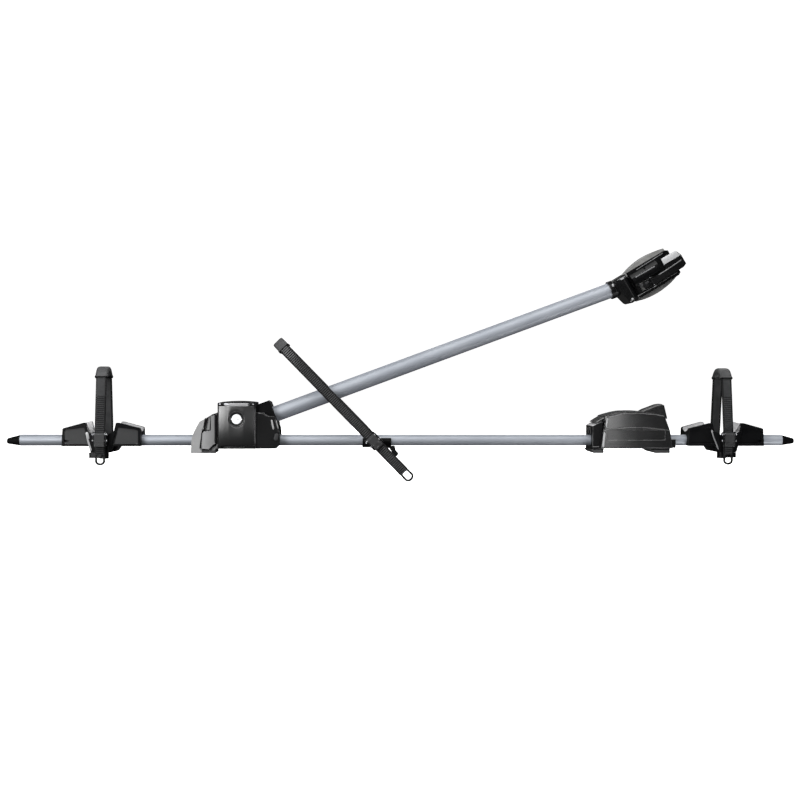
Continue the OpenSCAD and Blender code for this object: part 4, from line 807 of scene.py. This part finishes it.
# Width of the rounded edges, bend, and cuts along X: from, to and how many
WING_SLICES = (-80.0, TOWER_X, 12)
SIDE_SLICES = (34.0, 74.0, 6)
COVER_SLICES = (REAR_FOOT_X - 46.0, REAR_FOOT_X + 80.0, 19)
BENT = {
    "front_flap": (0.9, flap_bend, (-30.0, 30.0, 13)),
    "lock_core": (0.3, lock_bend, None),
    "front_housing": (1.3, wing_bend, WING_SLICES),
    "front_leg_pad": (0.6, wing_bend, WING_SLICES),
    "front_side_cover_near": (1.0, side_bend, SIDE_SLICES),
    "front_side_cover_far": (1.0, side_bend, SIDE_SLICES),
    "rear_cover": (1.2, cover_bend, COVER_SLICES),
    "rear_cover_side_near": (1.0, cover_bend, COVER_SLICES),
    "rear_cover_side_far": (1.0, cover_bend, COVER_SLICES),
    "front_saddle": (1.3, holder_bend(FRONT_HOLDER_X), holder_slices(FRONT_HOLDER_X)),
    "rear_saddle": (1.3, holder_bend(REAR_HOLDER_X), holder_slices(REAR_HOLDER_X)),
}
PIECES = {node: softened(node, width) for node, width in ROUNDED.items()}
PIECES.update({node: softened(node, *how) for node, how in BENT.items()})

OWN_FINISH = {
    "front_flap": FLAP_SHEEN, "rear_cover": COVER_SHEEN, "rear_cover_side_near": COVER_SHEEN,
    "rear_cover_side_far": COVER_SHEEN, "front_buckle_lever": PANEL, "rear_buckle_lever": PANEL,
    "third_buckle_lever": PANEL, "front_saddle": SADDLE, "rear_saddle": SADDLE,
}
for node, finish in OWN_FINISH.items():
    PIECES[node].data.materials[0] = finish


# Faces that take a second finish, picked by their middles and their normals


def saddle_panels(middle, normal):
    """The flat panels sunk in a saddle's sides: faces that look sideways, between two distances
    from the middle plane. On the front saddle their grey is painted light from the left; the rear
    saddle's panels are not picked and stay black."""
    out = np.abs(middle[:, 1])
    return (np.abs(normal[:, 1]) > 0.9) & (out > PANEL_FROM_Y) & (out < PANEL_TO_Y)


def tyre_groove(middle, normal):
    """The round groove in a saddle: faces on its cylinder. They take a pale painted reflection of
    the light above.
    """
    return np.abs(np.hypot(middle[:, 1], middle[:, 2] - GROOVE_Z) - GROOVE_R) < 0.8


def wing_sides(middle, normal):
    """The wing's sides, as far as two millimetres into the tower. Their pale tone is painted
    light from the left.
    """
    return (middle[:, 0] < TOWER_X + 2.0) & (np.abs(normal[:, 1]) > 0.5)


def flap_top(middle, normal):
    """The flap's top between its corners, without its inner face. It takes a pale painted
    highlight.
    """
    return (middle[:, 2] > FLAP_TOP_Z) & (np.abs(middle[:, 0]) < 20.5) & (normal[:, 1] < 0.5)


def lock_recess(middle, normal):
    """The round recess about the lock."""
    return np.hypot(middle[:, 0], middle[:, 2] - LOCK_Z) < RECESS_R


def lever_facet(middle, normal):
    """The clamp lever's near facet that looks up a little. It takes a bright painted highlight.
    """
    return (normal[:, 2] > 0.25) & (normal[:, 1] < -0.8)


def rod_end(middle, normal):
    """The near end of the tie rod."""
    return middle[:, 1] < -20.0


def base_step(middle, normal):
    """The top of the step at the end of the rear foot's base. It takes a pale painted highlight.
    """
    return (normal[:, 2] > 0.6) & (middle[:, 2] > STEP_Z)


for node, finish, chosen in (
        ("front_saddle", PANEL, saddle_panels), ("front_saddle", PALE_HIGHLIGHT, tyre_groove),
        ("rear_saddle", PALE_HIGHLIGHT, tyre_groove), ("front_housing", LIT_WING, wing_sides),
        ("front_flap", PALE_HIGHLIGHT, flap_top), ("front_flap", STRAP_EDGE, lock_recess),
        ("clamp_lever", BRIGHT_HIGHLIGHT, lever_facet), ("tie_rod", STRAP_EDGE, rod_end),
        ("rear_base", PALE_HIGHLIGHT, base_step)):
    faced(PIECES[node], finish, chosen)


# Fine relief that is too low for the CAD model: seams, ridges and catch lights along edges. The
# pale, catch-light, bright and edge finishes on them are painted highlights. Each row gives the
# piece, the finish, the width, the sides and the line as X and Z

NEAR, FAR, BOTH = (-1,), (1,), (-1, 1)


def mates(name, *rows):
    """The same rows for a near piece and then for its far mate."""
    return [(name + end, finish, width, side, line)
            for end, side in (("_near", NEAR), ("_far", FAR)) for finish, width, line in rows]


RELIEF_AND_HIGHLIGHTS = [
    ("front_housing", GROOVE_SHADE_AND_SEAM, 3.0, BOTH,
     [(-54.6, 54.0), (-58.3, 31.8), (-62.1, 27.5), (-64.2, -0.6)]),
    ("front_housing", GROOVE_SHADE_AND_SEAM, 2.2, BOTH, [(-45.6, 56.9), (-47.5, 32.1), (-57.5, 30.6)]),
    ("front_housing", GROOVE_SHADE_AND_SEAM, 2.4, BOTH, [(-64.2, -1.4), (-49.1, -2.4), (-39.0, 7.8)]),
    ("front_housing", GROOVE_SHADE_AND_SEAM, 2.4, BOTH, [(-45.0, 58.4), (-36.5, 61.2)]),
    ("front_housing", LINE, 0.7, NEAR, [(32.2, 70.0), (32.2, 8.0)]),
    ("front_housing", GROOVE_SHADE_AND_SEAM, 3.6, NEAR, [(-37.4, 60.0), (-37.4, 6.0)]),
    *mates("front_side_cover",
           (EDGE_HIGHLIGHT, 1.1, [(37.1, 61.8), (47.6, 61.0), (57.0, 55.8)]),
           (PALE_HIGHLIGHT, 3.0, [(60.6, 51.0), (64.2, 33.5)]),
           (PALE_HIGHLIGHT, 1.6, [(68.6, 50.0), (72.3, 34.5)]),
           (PANEL, 7.0, [(70.2, 26.8), (67.3, 14.0)])),
    ("head_collar", BRIGHT_HIGHLIGHT, 3.4, NEAR, [(669.3, 295.0), (669.8, 289.0)]),
    ("head_body", LINE, 1.5, BOTH, [(673.9, 299.6), (688.0, 307.2), (703.0, 314.6)]),
    ("head_body", BRIGHT_HIGHLIGHT, 3.0, BOTH, [(680.5, 300.6), (687.0, 305.6)]),
    ("head_body", LINE, 1.5, BOTH, [(698.0, 261.6), (706.0, 267.0)]),
    ("head_body", BRIGHT_HIGHLIGHT, 3.4, BOTH, [(700.6, 265.4), (706.6, 269.6)]),
    ("near_jaw", LINE, 1.4, NEAR, [(708.0, 318.0), (736.1, 336.0), (757.0, 349.5)]),
    ("near_jaw", LINE, 2.0, NEAR, [(705.7, 304.7), (723.0, 314.6), (741.1, 324.9)]),
    ("near_jaw", LINE, 1.2, NEAR, [(712.0, 271.6), (756.1, 298.0), (784.0, 316.0)]),
    ("clamp_lever", LINE, 1.8, NEAR, [(747.0, 309.2), (765.0, 320.6), (788.0, 336.6)]),
    ("tie_rod", PANEL, 4.0, NEAR, [(723.0, 293.6), (729.5, 297.6)]),
    ("front_saddle", BRIGHT_HIGHLIGHT, 5.0, NEAR, [(-261.0, 29.0), (-257.9, 13.0), (-252.7, -4.2)]),
    ("rear_saddle", LINE, 3.4, NEAR, [(846.3, 33.0), (850.6, 18.5), (858.5, -2.0)]),
    ("rear_cover", EDGE_HIGHLIGHT, 1.6, BOTH,
     [(655.9, 55.4), (682.3, 61.6), (710.7, 63.0), (741.3, 60.8), (762.0, 57.0)]),
    ("rear_cover", BRIGHT_HIGHLIGHT, 2.6, BOTH, [(656.6, 54.0), (654.6, 38.5)]),
    *mates("rear_cover_side", (BRIGHT_HIGHLIGHT, 3.4, [(651.6, 28.5), (648.9, 1.8)])),
]
for k, (node, finish, width, sides, line) in enumerate(RELIEF_AND_HIGHLIGHTS):
    strip("relief_%02d" % k, PIECES[node], BODY_OF[node], finish, width, sides, line)

# CAD nodes that stay take their slot's finish, apart from the brackets, which take a darker steel
# than the slot's zinc

for node, cad_object in frame["nodes"].items():
    finish = DARK_BRACKET if node.endswith("_bracket") else FINISH[SLOT_OF[node]]
    for k in range(len(cad_object.data.materials)):
        cad_object.data.materials[k] = finish


# Camera, floor and light


def camera():
    """The photograph's camera: its place, its three axes and a 55 mm lens."""
    eye_point = Vector((180.72, -2200.0, 135.03)) * MM
    right = Vector((0.9988049, -0.04880715, 0.00257525))
    up = Vector((-0.00146466, 0.02277667, 0.99973951))
    back = right.cross(up)
    data = bpy.data.cameras.new("camera")
    data.sensor_width = 36.0
    data.lens = 55.24
    data.clip_end = 50.0
    eye = linked("camera", data)
    turn = Matrix((right, up, back)).transposed().to_4x4()
    eye.matrix_world = Matrix.Translation(eye_point) @ turn
    bpy.context.scene.camera = eye


def softbox(name, place, target, size, power, glow_only=False, shine=True):
    """A rectangular area light aimed at a point, in metres and watts; glow_only lets it show in
    gloss alone, and without shine it doesn't show in gloss."""
    data = bpy.data.lights.new(name, "AREA")
    data.shape = "RECTANGLE"
    data.size, data.size_y = size
    data.energy = power
    lamp = linked(name, data)
    lamp.visible_diffuse = not glow_only
    lamp.visible_glossy = shine
    place, target = Vector(place), Vector(target)
    turn = (place - target).to_track_quat("Z", "Y").to_matrix().to_4x4()
    lamp.matrix_world = Matrix.Translation(place) @ turn


def backdrop():
    """Pale floor that sweeps up all round into a wall: a profile of a straight line, a quarter
    circle and a straight line, turned about the upright through the object's middle. It glows,
    so that the soft shadows on it stay faint, and it throws no light back on the object."""
    middle_x, floor_z, wall_r, wall_height, sweep_r = 0.3, -0.075, 7.0, 6.0, 2.0
    mat, _, shader = material("paper", (0.9, 0.9, 0.9), 0.9)
    shader.inputs["Emission Color"].default_value = (1.0, 1.0, 1.0, 1.0)
    shader.inputs["Emission Strength"].default_value = 0.97
    angle = np.linspace(0, np.pi / 2, 17)
    radius = np.concatenate([[0.0, 1.5, 3.2], wall_r - sweep_r + sweep_r * np.sin(angle),
                             [wall_r]])
    height = floor_z + np.concatenate([[0.0, 0.0, 0.0], sweep_r - sweep_r * np.cos(angle),
                                       [wall_height]])
    turn = np.linspace(0, 2 * np.pi, 96, endpoint=False)
    grid = np.stack([middle_x + radius[:, None] * np.cos(turn), radius[:, None] * np.sin(turn),
                     np.broadcast_to(height[:, None], (len(radius), len(turn)))], -1)
    paper = surface("backdrop", grid, closed=(False, True))
    paper.data.materials.append(mat)
    paper.visible_glossy = False
    paper.visible_diffuse = False
    paper.visible_shadow = False


def world():
    """Dim, even surroundings."""
    sky = bpy.data.worlds.new("surroundings")
    sky.use_nodes = True
    glow = sky.node_tree.nodes["Background"]
    glow.inputs["Color"].default_value = (1.0, 1.0, 1.0, 1.0)
    glow.inputs["Strength"].default_value = 0.07
    bpy.context.scene.world = sky


camera()
backdrop()
world()
softbox("top_light", (0.3, -0.75, 1.6), (0.3, 0.0, 0.0), (3.4, 1.0), 50.0)
softbox("front_light", (-1.1, -2.0, 0.5), (0.1, 0.0, 0.05), (0.9, 1.3), 46.0)
softbox("back_light", (0.8, 1.6, 1.5), (0.3, 0.0, 0.1), (2.4, 0.7), 16.0)
softbox("far_light", (0.6, 2.3, 0.9), (0.4, 0.0, 0.1), (1.8, 1.0), 30.0, shine=False)
softbox("low_light", (1.1, -0.5, -0.5), (0.75, 0.0, 0.28), (0.5, 0.4), 5.0)
softbox("left_glow", (-0.85, -2.0, 0.8), (0.0, 0.0, 0.05), (0.42, 0.9), 20.0, glow_only=True)
softbox("rear_glow", (0.72, -2.5, 0.3), (0.69, 0.0, 0.05), (0.3, 0.9), 8.0, glow_only=True)
softbox("high_glow", (0.45, -1.7, 1.75), (0.45, 0.0, 0.2), (1.6, 0.3), 18.0, glow_only=True)
bpy.context.scene.view_settings.view_transform = "Standard"
